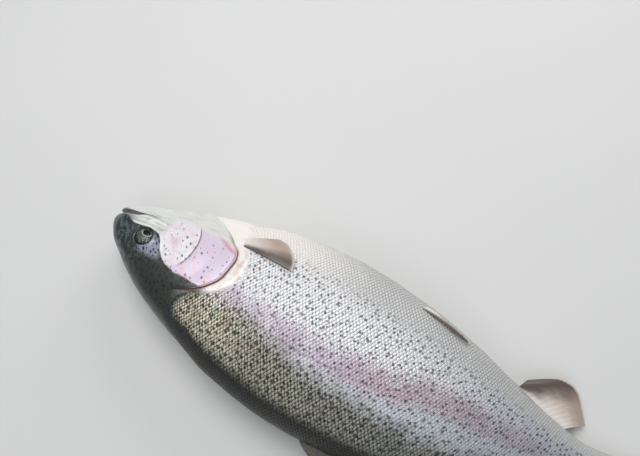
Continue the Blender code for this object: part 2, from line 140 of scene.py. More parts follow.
# Leading and trailing root, leading and trailing tip, bulge of the margin, lift of the tip.
PECTORAL_FIN = ((0.1075, -0.0252), (0.1065, -0.0305), (0.1600, -0.0270), (0.1400, -0.0475), 0.0050, 0.0010)
PECTORAL_FIN_LEFT = ((0.1085, -0.0260), (0.1070, -0.0340), (0.1540, -0.0480), (0.1300, -0.0530), 0.0040, 0.0)
PELVIC_FIN = ((0.2540, -0.0580), (0.2600, -0.0610), (0.3030, -0.0470), (0.2880, -0.0530), 0.0040, 0.0010)
ADIPOSE_START = 0.388
ADIPOSE_BASE = 0.010
ADIPOSE_REACH = 0.013
ADIPOSE_HEIGHT = 0.011
ADIPOSE_THICKNESS = 0.0030
FORK_X = 0.523
TAIL_TIP_X = 0.550
CAUDAL_ROOT_HEIGHT = 0.0270
CAUDAL_SPREAD = 0.0500
CAUDAL_OVERLAP = 0.0060
CAUDAL_ROOT_THICKNESS = 0.0026
FIN_GAP = 0.0006

# The bed of the left pectoral fin in the flank above it: start and reach in side view, half width at
# the fin's root and at its tip, width of its soft edge, and depth.
FIN_BED_START = (0.1070, -0.0300)
FIN_BED_ALONG = (0.0420, -0.0240)
FIN_BED_WIDTHS = (0.0065, 0.0150)
FIN_BED_EDGE = 0.004
FIN_ROOM = 0.0021

# Scales: their depth over the skin, spacing along the fish, and shape in units of that spacing.
COAT = 0.00045
SCALE_SPACING = ((0.090, 0.0021), (0.120, 0.0027), (0.250, 0.0028), (0.330, 0.0026), (0.420, 0.0022),
                 (0.484, 0.0018))
ROW_SPACING = 0.866
SCALE_LENGTH = 1.72
SCALE_HALF_WIDTH = 1.12
SCALES_END = 0.4815
SEED = 7

# The skin's rings, the head's with twice as many points as the trunk's. One point of each half ring
# lies on the mouth line, and one ring follows the edge of the gill cover.
HEAD_END = 0.150
GILL_RING = 0.100
HALF_RING = 180
MOUTH_POINT = 109
MOUTH_T = MOUTH_POINT / HALF_RING
SNOUT_RINGS = 22
CHEEK_RINGS = 126
SHOULDER_RINGS = 60
TRUNK_RINGS = 90


def monotone(rows, column=1):
    """A smooth curve through one column of the rows that never overshoots between them."""
    xs = np.array([row[0] for row in rows])
    ys = np.array([row[column] for row in rows])
    steps = np.diff(xs)
    slopes = np.diff(ys) / steps
    tangents = np.concatenate([slopes[:1], np.zeros(len(xs) - 2), slopes[-1:]])
    for i in range(1, len(xs) - 1):
        if slopes[i - 1] * slopes[i] > 0:
            tangents[i] = 2 * slopes[i - 1] * slopes[i] / (slopes[i - 1] + slopes[i])

    def curve(x):
        x = np.clip(x, xs[0], xs[-1])
        i = np.clip(np.searchsorted(xs, x) - 1, 0, len(steps) - 1)
        t = (x - xs[i]) / steps[i]
        start = (1 + 2 * t) * (1 - t) ** 2 * ys[i] + t * (1 - t) ** 2 * steps[i] * tangents[i]
        end = t * t * (3 - 2 * t) * ys[i + 1] + t * t * (t - 1) * steps[i] * tangents[i + 1]
        return start + end

    return curve


def by_angle(rows):
    """A curve over the angle round the body, the same on both sides."""
    curve = monotone([(math.radians(angle), place) for angle, place in rows])
    return lambda angle: curve(np.abs(angle))


back_height = monotone(STATIONS, 1)
belly_depth = monotone(STATIONS, 2)
half_width = monotone(STATIONS, 3)
axis_height = monotone(AXIS_HEIGHTS)
lateral_line = monotone(LATERAL_LINE)
olive_edge = monotone(OLIVE_EDGE)
stripe_height = monotone(STRIPE_HEIGHT)
stripe_half_width = monotone(STRIPE_HALF_WIDTH)
gill_edge = by_angle(GILL_EDGE)
first_scales = by_angle(FIRST_SCALES)
preopercle = monotone(PREOPERCLE)
scale_spacing = monotone(SCALE_SPACING)


def smooth(value, low, high):
    """0 below low, 1 above high and a smooth step between them; low may be the larger one."""
    t = np.clip((value - low) / (high - low), 0, 1)
    return t * t * (3 - 2 * t)


def hump(value, width):
    """1 at a value of 0, falling off evenly to both sides."""
    return np.exp(-((value / width) ** 2))


def span(value, low, full, full_end, end):
    """0 below low and above end, 1 from full to full_end, and smooth steps between."""
    return smooth(value, low, full) * smooth(value, end, full_end)


def mix(a, b, share):
    return a + (b - a) * share


def stacked(*values):
    """Joins values point by point, as the last axis of one array."""
    return np.stack(np.broadcast_arrays(*values), axis=-1)


# ---- The straight body -------------------------------------------------------------------------


def nose(x):
    """Closes the body at the snout with a rounded end."""
    t = np.clip(x / NOSE_LENGTH, 0, 1)
    return np.sqrt(1 - (1 - t) ** 2)


def section(x, angle):
    """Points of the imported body's surface on the straight fish."""
    along, across = np.cos(angle), np.sin(angle)
    height = np.where(along > 0, back_height(x), belly_depth(x)) * nose(x)
    width = half_width(x) * nose(x)
    power = 2 / SECTION_POWER
    y = -np.sign(along) * np.abs(along) ** power * height
    z = np.sign(across) * np.abs(across) ** power * width
    return stacked(x, y, z)


def height_at(x, angle):
    """Height above the axis of a place on the body's surface."""
    return -section(x, angle)[..., 1]


def section_angle(x, height):
    """The angle at which the right side of the section reaches a height above the axis."""
    limit = np.where(height > 0, back_height(x), belly_depth(x)) * nose(x)
    along = np.clip(np.abs(height) / np.maximum(limit, 1e-9), 0, 1) ** (SECTION_POWER / 2)
    return np.arccos(np.sign(height) * along)


def unit(vectors):
    """The same directions with a length of 1."""
    return vectors / np.maximum(np.linalg.norm(vectors, axis=-1, keepdims=True), 1e-12)


def outward_normal(x, angle):
    """The direction straight out of the body's surface on the straight fish."""
    step = 0.0008
    forward = section(np.maximum(x + step, 0.0012), angle) - section(np.maximum(x - step, 0.0002), angle)
    around = section(x, angle + 0.01) - section(x, angle - 0.01)
    normal = unit(np.cross(forward, around))
    point = section(x, angle)
    outwards = np.sign((normal[..., 1:] * point[..., 1:]).sum(axis=-1, keepdims=True))
    return normal * np.where(outwards == 0, 1, outwards)


def over_skin(x, angle, offset):
    """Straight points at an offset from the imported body's surface."""
    return section(x, angle) + outward_normal(x, angle) * np.asarray(offset)[..., None]


def axis_point(x):
    """The body's axis in the pose: lifted by half the thickness, its tail swung to the belly's side."""
    return stacked(x, TAIL_SWING * (x / BODY_END) ** 3, axis_height(x))


def section_frame(x):
    """Where the axis is at x, and the directions towards the belly and out of the right side there."""
    step = 0.0005
    tangent = unit(axis_point(x + step) - axis_point(x - step))
    fade = np.clip((x - ROLL_FADES[0]) / (ROLL_FADES[1] - ROLL_FADES[0]), 0, 1)
    roll = (HEAD_ROLL * (1 - fade * fade * (3 - 2 * fade)))[..., None]
    belly = unit(np.cross(np.array((0.0, 0.0, 1.0)), tangent))
    upward = np.cross(tangent, belly)
    sideways = belly * np.cos(roll) - upward * np.sin(roll)
    outward = upward * np.cos(roll) + belly * np.sin(roll)
    return axis_point(x), tangent, sideways, outward


def turned(vectors, x):
    """Directions on the straight fish, as they point in the pose."""
    _, tangent, sideways, outward = section_frame(x)
    return tangent * vectors[..., :1] + sideways * vectors[..., 1:2] + outward * vectors[..., 2:]


def posed(points, level=0.0):
    """Lays points of the straight fish down, and presses those under a level up to it."""
    points = np.asarray(points, dtype=float)
    centre, _, sideways, outward = section_frame(points[..., 0])
    place = centre + sideways * points[..., 1:2] + outward * points[..., 2:]
    sunk = np.minimum(place[..., 2] - level, 0) / outward[..., 2]
    return place - outward * sunk[..., None]


def world_shift():
    """From the pose's own axes to the world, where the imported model's box is centred."""
    x = np.linspace(0.12, 0.34, 200)[:, None]
    angles = np.linspace(0, 2 * math.pi, 181)[None, :]
    body = posed(section(x, angles)).reshape(-1, 3)
    low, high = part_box("trunk")
    middle = (body[:, 1].min() + body[:, 1].max()) / 2
    return np.array((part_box("head")[0][0], (low[1] + high[1]) / 2 - middle, 0.0))


SHIFT = world_shift()


def in_world(points, level=0.0):
    return posed(points, level) + SHIFT


# ---- Places on the skin ------------------------------------------------------------------------


def unrolled():
    """Tables between the angle round the body and the distance from the lateral line, up the back."""
    xs = np.linspace(0.0, BODY_END, 700)
    angles = np.linspace(-0.6, math.pi + 0.6, 500)
    points = section(xs[:, None], angles)
    steps = np.linalg.norm(np.diff(points, axis=1), axis=2)
    arcs = np.concatenate([np.zeros((len(xs), 1)), np.cumsum(steps, axis=1)], axis=1)
    line = section_angle(xs, lateral_line(xs))
    arcs = np.array([np.interp(start, angles, arc) - arc for start, arc in zip(line, arcs)])
    reach = np.linspace(-0.16, 0.12, 900)
    inverse = np.array([np.interp(-reach, -arc, angles) for arc in arcs])
    return xs, angles, arcs, reach, inverse


SKIN_XS, SKIN_ANGLES, SKIN_ARCS, SKIN_REACH, SKIN_INVERSE = unrolled()


def looked_up(table, rows, columns, row, column):
    """Reads a table between its rows and columns, which are evenly spaced."""
    i = np.clip((row - rows[0]) / (rows[1] - rows[0]), 0, len(rows) - 1.001)
    j = np.clip((column - columns[0]) / (columns[1] - columns[0]), 0, len(columns) - 1.001)
    a, b = i.astype(int), j.astype(int)
    s, t = i - a, j - b
    low = table[a, b] * (1 - t) + table[a, b + 1] * t
    high = table[a + 1, b] * (1 - t) + table[a + 1, b + 1] * t
    return low * (1 - s) + high * s


def rise_of(x, angle):
    """Distance over the skin from the lateral line, positive towards the back."""
    return looked_up(SKIN_ARCS, SKIN_XS, SKIN_ANGLES, x, np.abs(angle))


def angle_at(x, rise):
    return looked_up(SKIN_INVERSE, SKIN_XS, SKIN_REACH, x, rise)


def scaled(x, angle):
    """How far the coat of scales has begun: 0 on the head, 1 on the trunk and tail."""
    return smooth(x - first_scales(angle), -0.004, 0.004)


def resting_level(x, angle):
    """Height over the floor that the skin is pressed up to: room for scales and for the fin below it."""
    height = height_at(x, angle)
    behind, above = x - FIN_BED_START[0], height - FIN_BED_START[1]
    reach = np.hypot(*FIN_BED_ALONG)
    along = (behind * FIN_BED_ALONG[0] + above * FIN_BED_ALONG[1]) / reach ** 2
    across = (behind * FIN_BED_ALONG[1] - above * FIN_BED_ALONG[0]) / reach
    width = mix(*FIN_BED_WIDTHS, np.clip(along, 0, 1))
    over_fin = span(along, -0.12, 0.0, 1.08, 1.2) * smooth(np.abs(across), width, width - FIN_BED_EDGE)
    return COAT * scaled(x, angle) + FIN_ROOM * over_fin * (angle < 0)


def off_skin(x, height, side, offset):
    """The same as over_skin, from the place in side view on the right side (1) or the left (-1)."""
    return over_skin(x, side * section_angle(x, height), offset)


# ---- Relief of the head ------------------------------------------------------------------------

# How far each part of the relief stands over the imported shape, or lies below it.
NOSTRIL_DEPTH = 0.0013
NOSTRIL_RIM_RISE = 0.0003
BONE_RING_RISE = 0.00035
UNDER_RING_DEPTH = 0.00022
SOCKET_DEPTH = 0.0034
LID_RISE = 0.00045
MOAT_DEPTH = 0.00035
CHEEK_EDGE_RISE = 0.00050
PLATE_SEAM_DEPTH = 0.00035
GILL_RAY_RISE = 0.00022
GILL_RAY_SPACING = 0.0044
LIP_ROUNDING = 0.0006
MAXILLA_RISE = 0.00062
CHIN_GROOVE_DEPTH = 0.0011
JAW_FOLD_DEPTH = 0.00045
WAVE_RISE = 0.00006
HOLLOW_DEPTH = 0.0006
GILL_FLARE = 0.00085
VENT_X = 0.3535
VENT_DEPTH = 0.0012


def mouth_line(x):
    """Height of the closed mouth, from the tip of the snout to its corner."""
    return MOUTH_TIP_HEIGHT + (MOUTH_CORNER[1] - MOUTH_TIP_HEIGHT) * x / MOUTH_CORNER[0]


def eye_distance(x, height):
    return np.hypot((x - EYE_CENTRE[0]) / 1.04, height - EYE_CENTRE[1] - SOCKET_RISE)


def maxilla_share(x, height):
    """1 inside the upper jaw's plate, which widens to a round end under the eye, and 0 outside."""
    width = np.interp(x, (0.006, 0.022, 0.042), (0.0016, 0.0048, 0.0064))
    middle = mouth_line(x) + 0.0004 + width / 2
    across = np.abs(height - middle) / (width / 2)
    past = np.maximum(x - 0.0455, 0) / 0.0038
    return smooth(np.hypot(across, past), 1.30, 0.62) * smooth(x, 0.004, 0.012)


def skull_relief(x, height):
    """Nostrils, brow and the bone ring that borders the dark of the head."""
    relief = np.zeros_like(x)
    for pit_x, pit_height, radius in NOSTRILS:
        distance = np.hypot(x - pit_x, height - pit_height)
        relief += NOSTRIL_RIM_RISE * hump(distance - 1.5 * radius, 0.5 * radius)
        relief -= NOSTRIL_DEPTH * hump(distance, radius)
    near_eye = span(x, 0.018, 0.026, 0.053, 0.068)
    ring = hump(height - olive_edge(x) - 0.0004, 0.0010)
    below = smooth(olive_edge(x) - height, -0.0002, 0.0012) * smooth(height, -0.012, -0.004)
    return relief + (BONE_RING_RISE * ring - UNDER_RING_DEPTH * below) * near_eye


def eye_relief(x, height):
    """The socket that holds the eyeball, its lid, and the shallow moat round the lid."""
    distance = eye_distance(x, height)
    socket = SOCKET_DEPTH * smooth(distance, EYE_RADIUS + 0.0002, EYE_RADIUS - 0.0014)
    low_side = smooth(height, EYE_CENTRE[1], EYE_CENTRE[1] - 0.0060)
    lid = LID_RISE * (1 + low_side) * hump(distance - EYE_RADIUS - 0.0006, 0.0009)
    moat = MOAT_DEPTH * hump(distance - EYE_RADIUS - 0.0031, 0.0015)
    return lid - socket - moat


def cheek_relief(x, height):
    """The bone edge across the cheek, and the seam between the plates of the gill cover."""
    behind = x - preopercle(height)
    inside = span(height, -0.031, -0.020, 0.015, 0.021)
    edge = np.exp(np.minimum(behind, 0) / 0.0060) * (behind < 0)
    groove = hump(behind - 0.0005, 0.0006)
    seam_height = -0.0240 + 0.0070 * smooth(x, 0.086, 0.112)
    seam = hump(height - seam_height, 0.0006) * span(x, 0.082, 0.088, 0.110, 0.1145)
    return CHEEK_EDGE_RISE * (edge - groove) * inside - PLATE_SEAM_DEPTH * seam


def gill_rays(x, angle, height):
    """Ridges of the rays that stiffen the skin under the gill cover."""
    before = gill_edge(angle) - x
    under = smooth(height, -0.0225, -0.0275) * smooth(x, 0.048, 0.062) * smooth(before, 0.0005, 0.0030)
    ridges = np.cos(before / GILL_RAY_SPACING * 2 * math.pi)
    return GILL_RAY_RISE * ridges * under * smooth(before, 0.034, 0.022)


def jaw_relief(x, angle, height):
    """Rounded lips, the upper jaw's plate, and the fold and the groove of the lower jaw."""
    from_mouth = height - mouth_line(x)
    lips = LIP_ROUNDING * hump(from_mouth, 0.0007) * smooth(x, 0.0515, 0.044)
    plate = MAXILLA_RISE * maxilla_share(x, height) * smooth(x, 0.054, 0.032)
    below = np.pi - np.abs(angle)
    groove = CHIN_GROOVE_DEPTH * hump(below, 0.16) * span(x, 0.010, 0.020, 0.046, 0.062)
    fold = JAW_FOLD_DEPTH * hump(from_mouth + 0.0042 + 0.05 * (x - 0.03), 0.0007)
    return plate - lips - groove - fold * span(x, 0.026, 0.036, 0.054, 0.068)


def unevenness(x, angle):
    """Slight waves that keep large surfaces from looking turned."""
    waves = np.sin(210 * x + 3.1 * angle) + np.sin(147 * x - 5.2 * angle + 1.3)
    waves = waves + 0.6 * np.sin(390 * x + 7.7 * angle + 0.4) + 0.5 * np.sin(520 * x - 9.1 * angle)
    return WAVE_RISE * waves * smooth(x, 0.004, 0.020)


def relief(x, angle):
    """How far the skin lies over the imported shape: under it by the coat's depth where there are scales."""
    height = height_at(x, angle)
    head = skull_relief(x, height) + eye_relief(x, height) + cheek_relief(x, height)
    head = head + gill_rays(x, angle, height) + jaw_relief(x, angle, height)
    return head * smooth(x, 0.126, 0.118) + unevenness(x, angle) - COAT * scaled(x, angle)


# The free rear edge of the gill cover, from its outer lip in under the lip and out on the shoulder:
# shift along the fish, and height over the skin. The steps that lie inside the slit are dark.
GILL_FOLD = ((0.0000, 0.00080), (0.0006, 0.00060), (0.0008, 0.00020), (0.0003, -0.00025),
             (-0.0010, -0.0008), (-0.0016, -0.0013), (-0.0008, -0.0016), (0.0012, -0.0012),
             (0.0026, -0.0008))
FOLD_SPACING = 0.0004
FOLD_INSIDE = (3, 4, 5, 6, 7)


def gill_share(angle):
    """1 where the gill cover's edge is free, and 0 above it."""
    opens = smooth(np.degrees(np.abs(angle)), *GILL_OPENS)
    return opens * (1 - 0.45 * smooth(np.degrees(np.abs(angle)), 140, 180))


def shoulder_hollow(x, angle):
    """How deep the bare shoulder lies under the gill cover's edge, before the scales begin."""
    return HOLLOW_DEPTH * smooth(x - gill_edge(angle), 0.009, 0.0022) * gill_share(angle)


# ---- The skin ----------------------------------------------------------------------------------


def head_rings():
    """Places of the head's rings before the gill cover bends them, and each one's step of its fold."""
    snout = NOSE_LENGTH * (1 - np.cos(np.linspace(0, math.pi / 2, SNOUT_RINGS + 1)))[1:]
    cheek = np.linspace(NOSE_LENGTH, GILL_RING, CHEEK_RINGS)[1:-4]
    shoulder = np.linspace(GILL_RING, HEAD_END, SHOULDER_RINGS)[4:]
    fold = np.full(len(GILL_FOLD), GILL_RING)
    steps = np.full(len(snout) + len(cheek) + len(fold) + len(shoulder), -1)
    steps[len(snout) + len(cheek):][:len(fold)] = np.arange(len(fold))
    return np.concatenate([snout, cheek, fold, shoulder]), steps


def ring_angles(x, t):
    """Angles of a ring's points: t is 0 on the back, MOUTH_T on the mouth line and 1 on the belly."""
    reach = np.minimum(x, MOUTH_CORNER[0])
    mouth = section_angle(reach, mouth_line(reach))
    upper = mouth * t / MOUTH_T
    lower = mouth + (math.pi - mouth) * (t - MOUTH_T) / (1 - MOUTH_T)
    return np.where(t <= MOUTH_T, upper, lower)


def bent_to_gill(u, angle):
    """Shifts rings along the fish so that one of them follows the edge of the gill cover."""
    share = np.where(u < GILL_RING, smooth(u, 0.030, GILL_RING), smooth(u, HEAD_END, GILL_RING))
    return u + (gill_edge(angle) - GILL_RING) * share


def head_skin_points():
    """Straight points of the head's skin, with the place and angle of each."""
    u, steps = (ring[:, None] for ring in head_rings())
    k = np.arange(2 * HALF_RING)[None, :]
    t = np.minimum(k, 2 * HALF_RING - k) / HALF_RING
    side = np.where(k <= HALF_RING, 1.0, -1.0)
    rough_angle = ring_angles(u, t)
    free = gill_share(rough_angle)
    in_fold = steps >= 0
    fold = np.array(GILL_FOLD)[np.maximum(steps, 0)] * in_fold[..., None]
    flat = (steps - len(GILL_FOLD) / 2) * FOLD_SPACING * in_fold
    x = bent_to_gill(u, rough_angle) + fold[..., 0] * free + flat * (1 - free)
    angle = side * ring_angles(x, t)
    behind = x - gill_edge(angle)
    flare = GILL_FLARE * smooth(behind, -0.016, -0.0005) * (behind <= 0.0001) * free
    hollow = shoulder_hollow(x, angle) * (behind > 0)
    lift = np.where(in_fold, fold[..., 1] * free, flare - hollow)
    offset = relief(x, angle) + lift
    slit = np.isin(steps, FOLD_INSIDE) * free
    return x, angle, offset, slit


def opened(points, share):
    """Turns the lower jaw about its hinge, its skin stretching behind the corner of the mouth."""
    ahead = np.array((MOUTH_CORNER[0] - JAW_THROAT[0], MOUTH_CORNER[1] - JAW_THROAT[1]))
    ahead = np.array((-ahead[1], ahead[0])) / np.hypot(*ahead)
    height = -points[..., 1]
    distance = (points[..., 0] - MOUTH_CORNER[0]) * ahead[0] + (height - MOUTH_CORNER[1]) * ahead[1]
    angle = JAW_OPENING * smooth(distance, -0.001, 0.011) * share
    along, up = points[..., 0] - JAW_HINGE[0], height - JAW_HINGE[1]
    moved = points.copy()
    moved[..., 0] = JAW_HINGE[0] + along * np.cos(angle) - up * np.sin(angle)
    moved[..., 1] = -(JAW_HINGE[1] + along * np.sin(angle) + up * np.cos(angle))
    return moved


# Where along the fish the upper jaw's plate begins to hang over the lip, and where it stops.
LIP_HANGS = (0.020, 0.029)
LIP_ENDS = (0.0500, 0.0465)
LIP_DEPTH = 0.0075
LIP_THICKNESS = 0.0004


def hung(points, x, share):
    """Lets the upper jaw's plate hang down over the lower lip, behind the front of the mouth."""
    height = height_at(x, section_angle(x, mouth_line(x)))
    share = share * smooth(x, *LIP_HANGS) * smooth(x, *LIP_ENDS)
    share = share * smooth(-points[..., 1] - height, LIP_DEPTH, 0.0)
    moved = points.copy()
    moved[..., 1] += JAW_OPENING * np.maximum(JAW_HINGE[0] - x, 0) * share
    moved[..., 2] += np.sign(points[..., 2]) * LIP_THICKNESS * share
    return moved


class Skin:
    """Points and faces of one growing mesh, with the values that the markings read at each point."""

    def __init__(self):
        self.points, self.places, self.slits, self.faces = [], [], [], []
        self.count = 0

    def add(self, points, x, angle, slit=0.0):
        """Adds posed points and returns their numbers, in the shape of x."""
        numbers = self.count + np.arange(x.size).reshape(x.shape)
        self.points.append(points.reshape(-1, 3))
        self.places.append(stacked(x, angle).reshape(-1, 2))
        self.slits.append((slit + 0 * x).ravel())
        self.count += x.size
        return numbers

    def quads(self, a, b, c, d):
        self.faces.append(stacked(a, b, c, d).reshape(-1, 4))

    def grid(self, numbers):
        self.quads(numbers[:-1, :-1], numbers[1:, :-1], numbers[1:, 1:], numbers[:-1, 1:])


PALATE_RISE = -0.0065
MOUTH_FLOOR_DROP = 0.0050
TONGUE_HEIGHT = 0.0042


def vault(right, left, rise, tongue, places):
    """A curved lining from lip to lip, flat at the jaw's tip and at the corner of the mouth."""
    share = np.linspace(0, 1, 18)[None, 1:-1]
    back = np.linspace(0, 1, len(right))[:, None]
    depth = smooth(back, 0, 0.15) * np.sqrt(1 - back)
    made = right[:, None] + (left - right)[:, None] * share[..., None]
    made[..., 1] += rise * np.sin(math.pi * share) ** 0.6 * depth
    made[..., 1] -= tongue * hump(share - 0.5, 0.16) * smooth(places, 0.012, 0.020) * depth
    return made


def head_mesh(skin):
    """Adds the head to the skin and returns the numbers of its last ring.

    The lower jaw's tip and lips get points of their own, so that it can turn away from the upper jaw.
    """
    x, angle, offset, slit = head_skin_points()
    straight = over_skin(x, angle, offset)
    level = resting_level(x, angle)
    around = x.shape[1]
    right, left = MOUTH_POINT, around - MOUTH_POINT
    first = int(np.argmax(belly_room(x[:, right]) > 0))
    corner = int(np.argmax(x[:, right] >= MOUTH_CORNER[0]))
    in_jaw = np.zeros_like(x)
    in_jaw[:, right:left + 1] = 1
    below_lips = in_jaw.copy()
    below_lips[:, [right, left]] = 0
    below_lips[:first] = 0
    upper, lower = opened(hung(straight, x, 1 - below_lips), below_lips), opened(straight, in_jaw)
    numbers = skin.add(in_world(upper, level), x, angle, slit)
    jaw = numbers.copy()
    front = (slice(first - 1, first), slice(right, right + 1))
    jaw[first - 1, right:left + 1] = skin.add(in_world(lower[front]), x[front], angle[front])[0, 0]
    for lip in (right, left):
        edge = (slice(first, corner), lip)
        jaw[edge] = skin.add(in_world(lower[edge]), x[edge], angle[edge])
    skin.grid(numbers[:, :right + 1])
    skin.grid(numbers[:, np.arange(left, around + 1) % around])
    skin.grid(jaw[first - 1:, right:left + 1])
    close_snout(skin, numbers[0])
    line_mouth(skin, numbers, jaw, upper, lower, x, slice(first - 1, corner + 1))
    return numbers[-1]


def belly_room(x):
    """How far the mouth line is above the belly at x: below 0 ahead of the lower jaw's tip."""
    return belly_depth(x) * nose(x) + mouth_line(x)


def close_snout(skin, ring):
    tip = skin.add(in_world(np.zeros((1, 3))), np.zeros(1), np.zeros(1))
    following = np.roll(ring, -1)
    skin.quads(np.full_like(ring, tip[0]), ring, following, following)


def line_mouth(skin, numbers, jaw, upper, lower, x, rows):
    """Lines the mouth between the lips with a palate above and a floor with the tongue below."""
    right, left = MOUTH_POINT, numbers.shape[1] - MOUTH_POINT
    places = x[rows, :1]
    palate = vault(upper[rows, right], upper[rows, left], PALATE_RISE, 0.0, places)
    bed = vault(lower[rows, right], lower[rows, left], MOUTH_FLOOR_DROP, TONGUE_HEIGHT, places)
    bed[-1] = palate[-1]
    across = np.zeros(palate.shape[:2])
    made = []
    for points, ends in ((palate, numbers), (bed, jaw)):
        middle = skin.add(in_world(points), places + across, across + math.pi / 2, across + 1)
        made.append(np.concatenate([ends[rows, right, None], middle, ends[rows, left, None]], axis=1))
    made[1][-1, 1:-1] = made[0][-1, 1:-1]
    skin.grid(made[0])
    skin.grid(made[1][:, ::-1])


def trunk_mesh(skin, last_ring):
    """Adds trunk and tail, with half as many points round the body, behind the head's last ring."""
    half = HALF_RING // 2
    x = np.linspace(HEAD_END, BODY_END - 0.0002, TRUNK_RINGS + 1)[1:, None]
    k = np.arange(2 * half)[None, :]
    t = np.minimum(k, 2 * half - k) / half
    angle = np.where(k <= half, 1.0, -1.0) * ring_angles(x, t)
    places = x + 0 * t
    vent = VENT_DEPTH * hump(places - VENT_X, 0.0016) * hump(math.pi - np.abs(angle), 0.10)
    offset = relief(places, angle) - vent
    straight = over_skin(places, angle, offset)
    numbers = skin.add(in_world(straight, resting_level(places, angle)), places, angle)
    closed = np.concatenate([numbers, numbers[:, :1]], axis=1)
    skin.grid(closed)
    first = closed[0]
    front = np.concatenate([last_ring, last_ring[:1]])
    skin.quads(front[0:-1:2], first[:-1], first[1:], front[2::2])
    skin.quads(front[0:-1:2], front[2::2], front[1::2], front[1::2])
    end = np.array(((places[-1, 0], 0.0, 0.0),))
    tip = skin.add(in_world(end), places[-1, :1], angle[-1, :1])
    skin.quads(closed[-1, :-1], np.full(2 * half, tip[0]), closed[-1, 1:], closed[-1, 1:])


def new_mesh(name, points, faces, surface):
    """A mesh object from arrays of points and of faces, whose repeated corners are left out."""
    mesh = bpy.data.meshes.new(name)
    keep = faces != np.roll(faces, 1, axis=1)
    whole = keep.sum(axis=1) >= 3
    faces, keep = faces[whole], keep[whole]
    corners = faces[keep]
    starts = np.concatenate([[0], np.cumsum(keep.sum(axis=1))[:-1]])
    mesh.vertices.add(len(points))
    mesh.vertices.foreach_set("co", points.astype(np.float32).ravel())
    mesh.loops.add(len(corners))
    mesh.loops.foreach_set("vertex_index", corners.astype(np.int32))
    mesh.polygons.add(len(starts))
    mesh.polygons.foreach_set("loop_start", starts.astype(np.int32))
    mesh.update(calc_edges=True)
    mesh.validate()
    mesh.shade_smooth()
    mesh.materials.append(surface)
    made = bpy.data.objects.new(name, mesh)
    bpy.context.collection.objects.link(made)
    return made


def set_values(mesh, name, values):
    """Stores a number or a vector at each point for the markings to read."""
    kind, field = ("FLOAT", "value") if values.ndim == 1 else ("FLOAT_VECTOR", "vector")
    mesh.attributes.new(name, kind, "POINT").data.foreach_set(field, values.astype(np.float32).ravel())


def store_markings(mesh, x, angle):
    """The skin's own coordinates in millimetres, and how each point lies to the lines of the markings."""
    height = height_at(x, angle)
    side = np.where(np.sign(angle) < 0, -1.0, 1.0)
    from_back = (rise_of(x, 0 * angle) - rise_of(x, angle)) / MM
    set_values(mesh, "skin_map", stacked(x / MM, from_back * side, 0.0))
    stripe = (height - stripe_height(x)) / stripe_half_width(x)
    set_values(mesh, "tones", stacked((height - olive_edge(x)) / MM, stripe, np.abs(angle) / math.pi))


def mended(made, join=0.0):
    """Joins points that meet in one place, within the distance of join, and turns all faces outwards."""
    shape = bmesh.new()
    shape.from_mesh(made.data)
    if join:
        bmesh.ops.remove_doubles(shape, verts=shape.verts, dist=join)
        bmesh.ops.dissolve_degenerate(shape, edges=shape.edges, dist=join / 2)
    bmesh.ops.recalc_face_normals(shape, faces=shape.faces)
    shape.to_mesh(made.data)
    shape.free()
    return made


SAME_PLACE = 2e-6


def make_skin():
    skin = Skin()
    trunk_mesh(skin, head_mesh(skin))
    points = np.concatenate(skin.points)
    points[:, 2] = np.maximum(points[:, 2], 0.0)
    made = new_mesh("skin", points, np.concatenate(skin.faces), skin_material())
    x, angle = np.concatenate(skin.places).T
    height = height_at(x, angle)
    store_markings(made.data, x, angle)
    set_values(made.data, "slit", np.concatenate(skin.slits))
    set_values(made.data, "head_map", stacked(x / MM, height / MM, maxilla_share(x, height)))
    behind_cheek, behind_gill = (x - preopercle(height)) / MM, (x - gill_edge(angle)) / MM
    set_values(made.data, "plates", stacked(behind_cheek, behind_gill, scaled(x, angle)))
    return mended(made, SAME_PLACE)


# ---- Eyes --------------------------------------------------------------------------------------

EYE_PROFILE = 26
EYE_BACK = 10
EYE_SPOKES = 72
EYE_TILT = 0.35
BALL_RIM = EYE_RADIUS * 1.04
BALL_CURVE = EYE_RADIUS * 1.14
BALL_SINK = 0.0012
BALL_DEPTH = 0.0032
LENS_RISE = 0.00040
IRIS_DIP = 0.00018
CORNEA_RIM = EYE_RADIUS * 1.05
CORNEA_CURVE = EYE_RADIUS * 1.10
CORNEA_BULGE = EYE_BULGE + 0.0009
CORNEA_SINK = 0.0013


def dome(away, rise, curve):
    """Height of a dome at a distance from its middle; it comes down to 0 at the distance of curve."""
    return rise * np.sqrt(np.clip(1 - (away / curve) ** 2, 0, 1))


def eye_points(side, radii, heights):
    """Rings about the eye's own axis, which leans from straight sideways to square off the skin."""
    x, height = EYE_CENTRE
    angle = side * section_angle(x, height)
    outward = unit(mix(np.array((0.0, 0.0, side)), outward_normal(x, angle), EYE_TILT))
    forward = unit(np.cross((0.0, -1.0, 0.0), outward)) * side
    upward = np.cross(outward, forward) * side
    spokes = np.linspace(0, 2 * math.pi, EYE_SPOKES, endpoint=False)
    ring = forward * np.cos(spokes)[:, None] + upward * np.sin(spokes)[:, None]
    points = section(x, angle) + ring * radii[:, None, None] + outward * heights[:, None, None]
    return points, stacked(np.cos(spokes), np.sin(spokes)) * radii[:, None, None]


def ring_faces(rings, spokes):
    """Faces of a disk of rings about a single point."""
    k = np.arange(spokes)
    following = (k + 1) % spokes
    faces = [stacked(0, 1 + k, 1 + following, 1 + following)]
    for ring in range(rings - 1):
        start = 1 + ring * spokes
        after = start + spokes
        faces.append(stacked(start + k, after + k, after + following, start + following))
    return np.concatenate(faces)


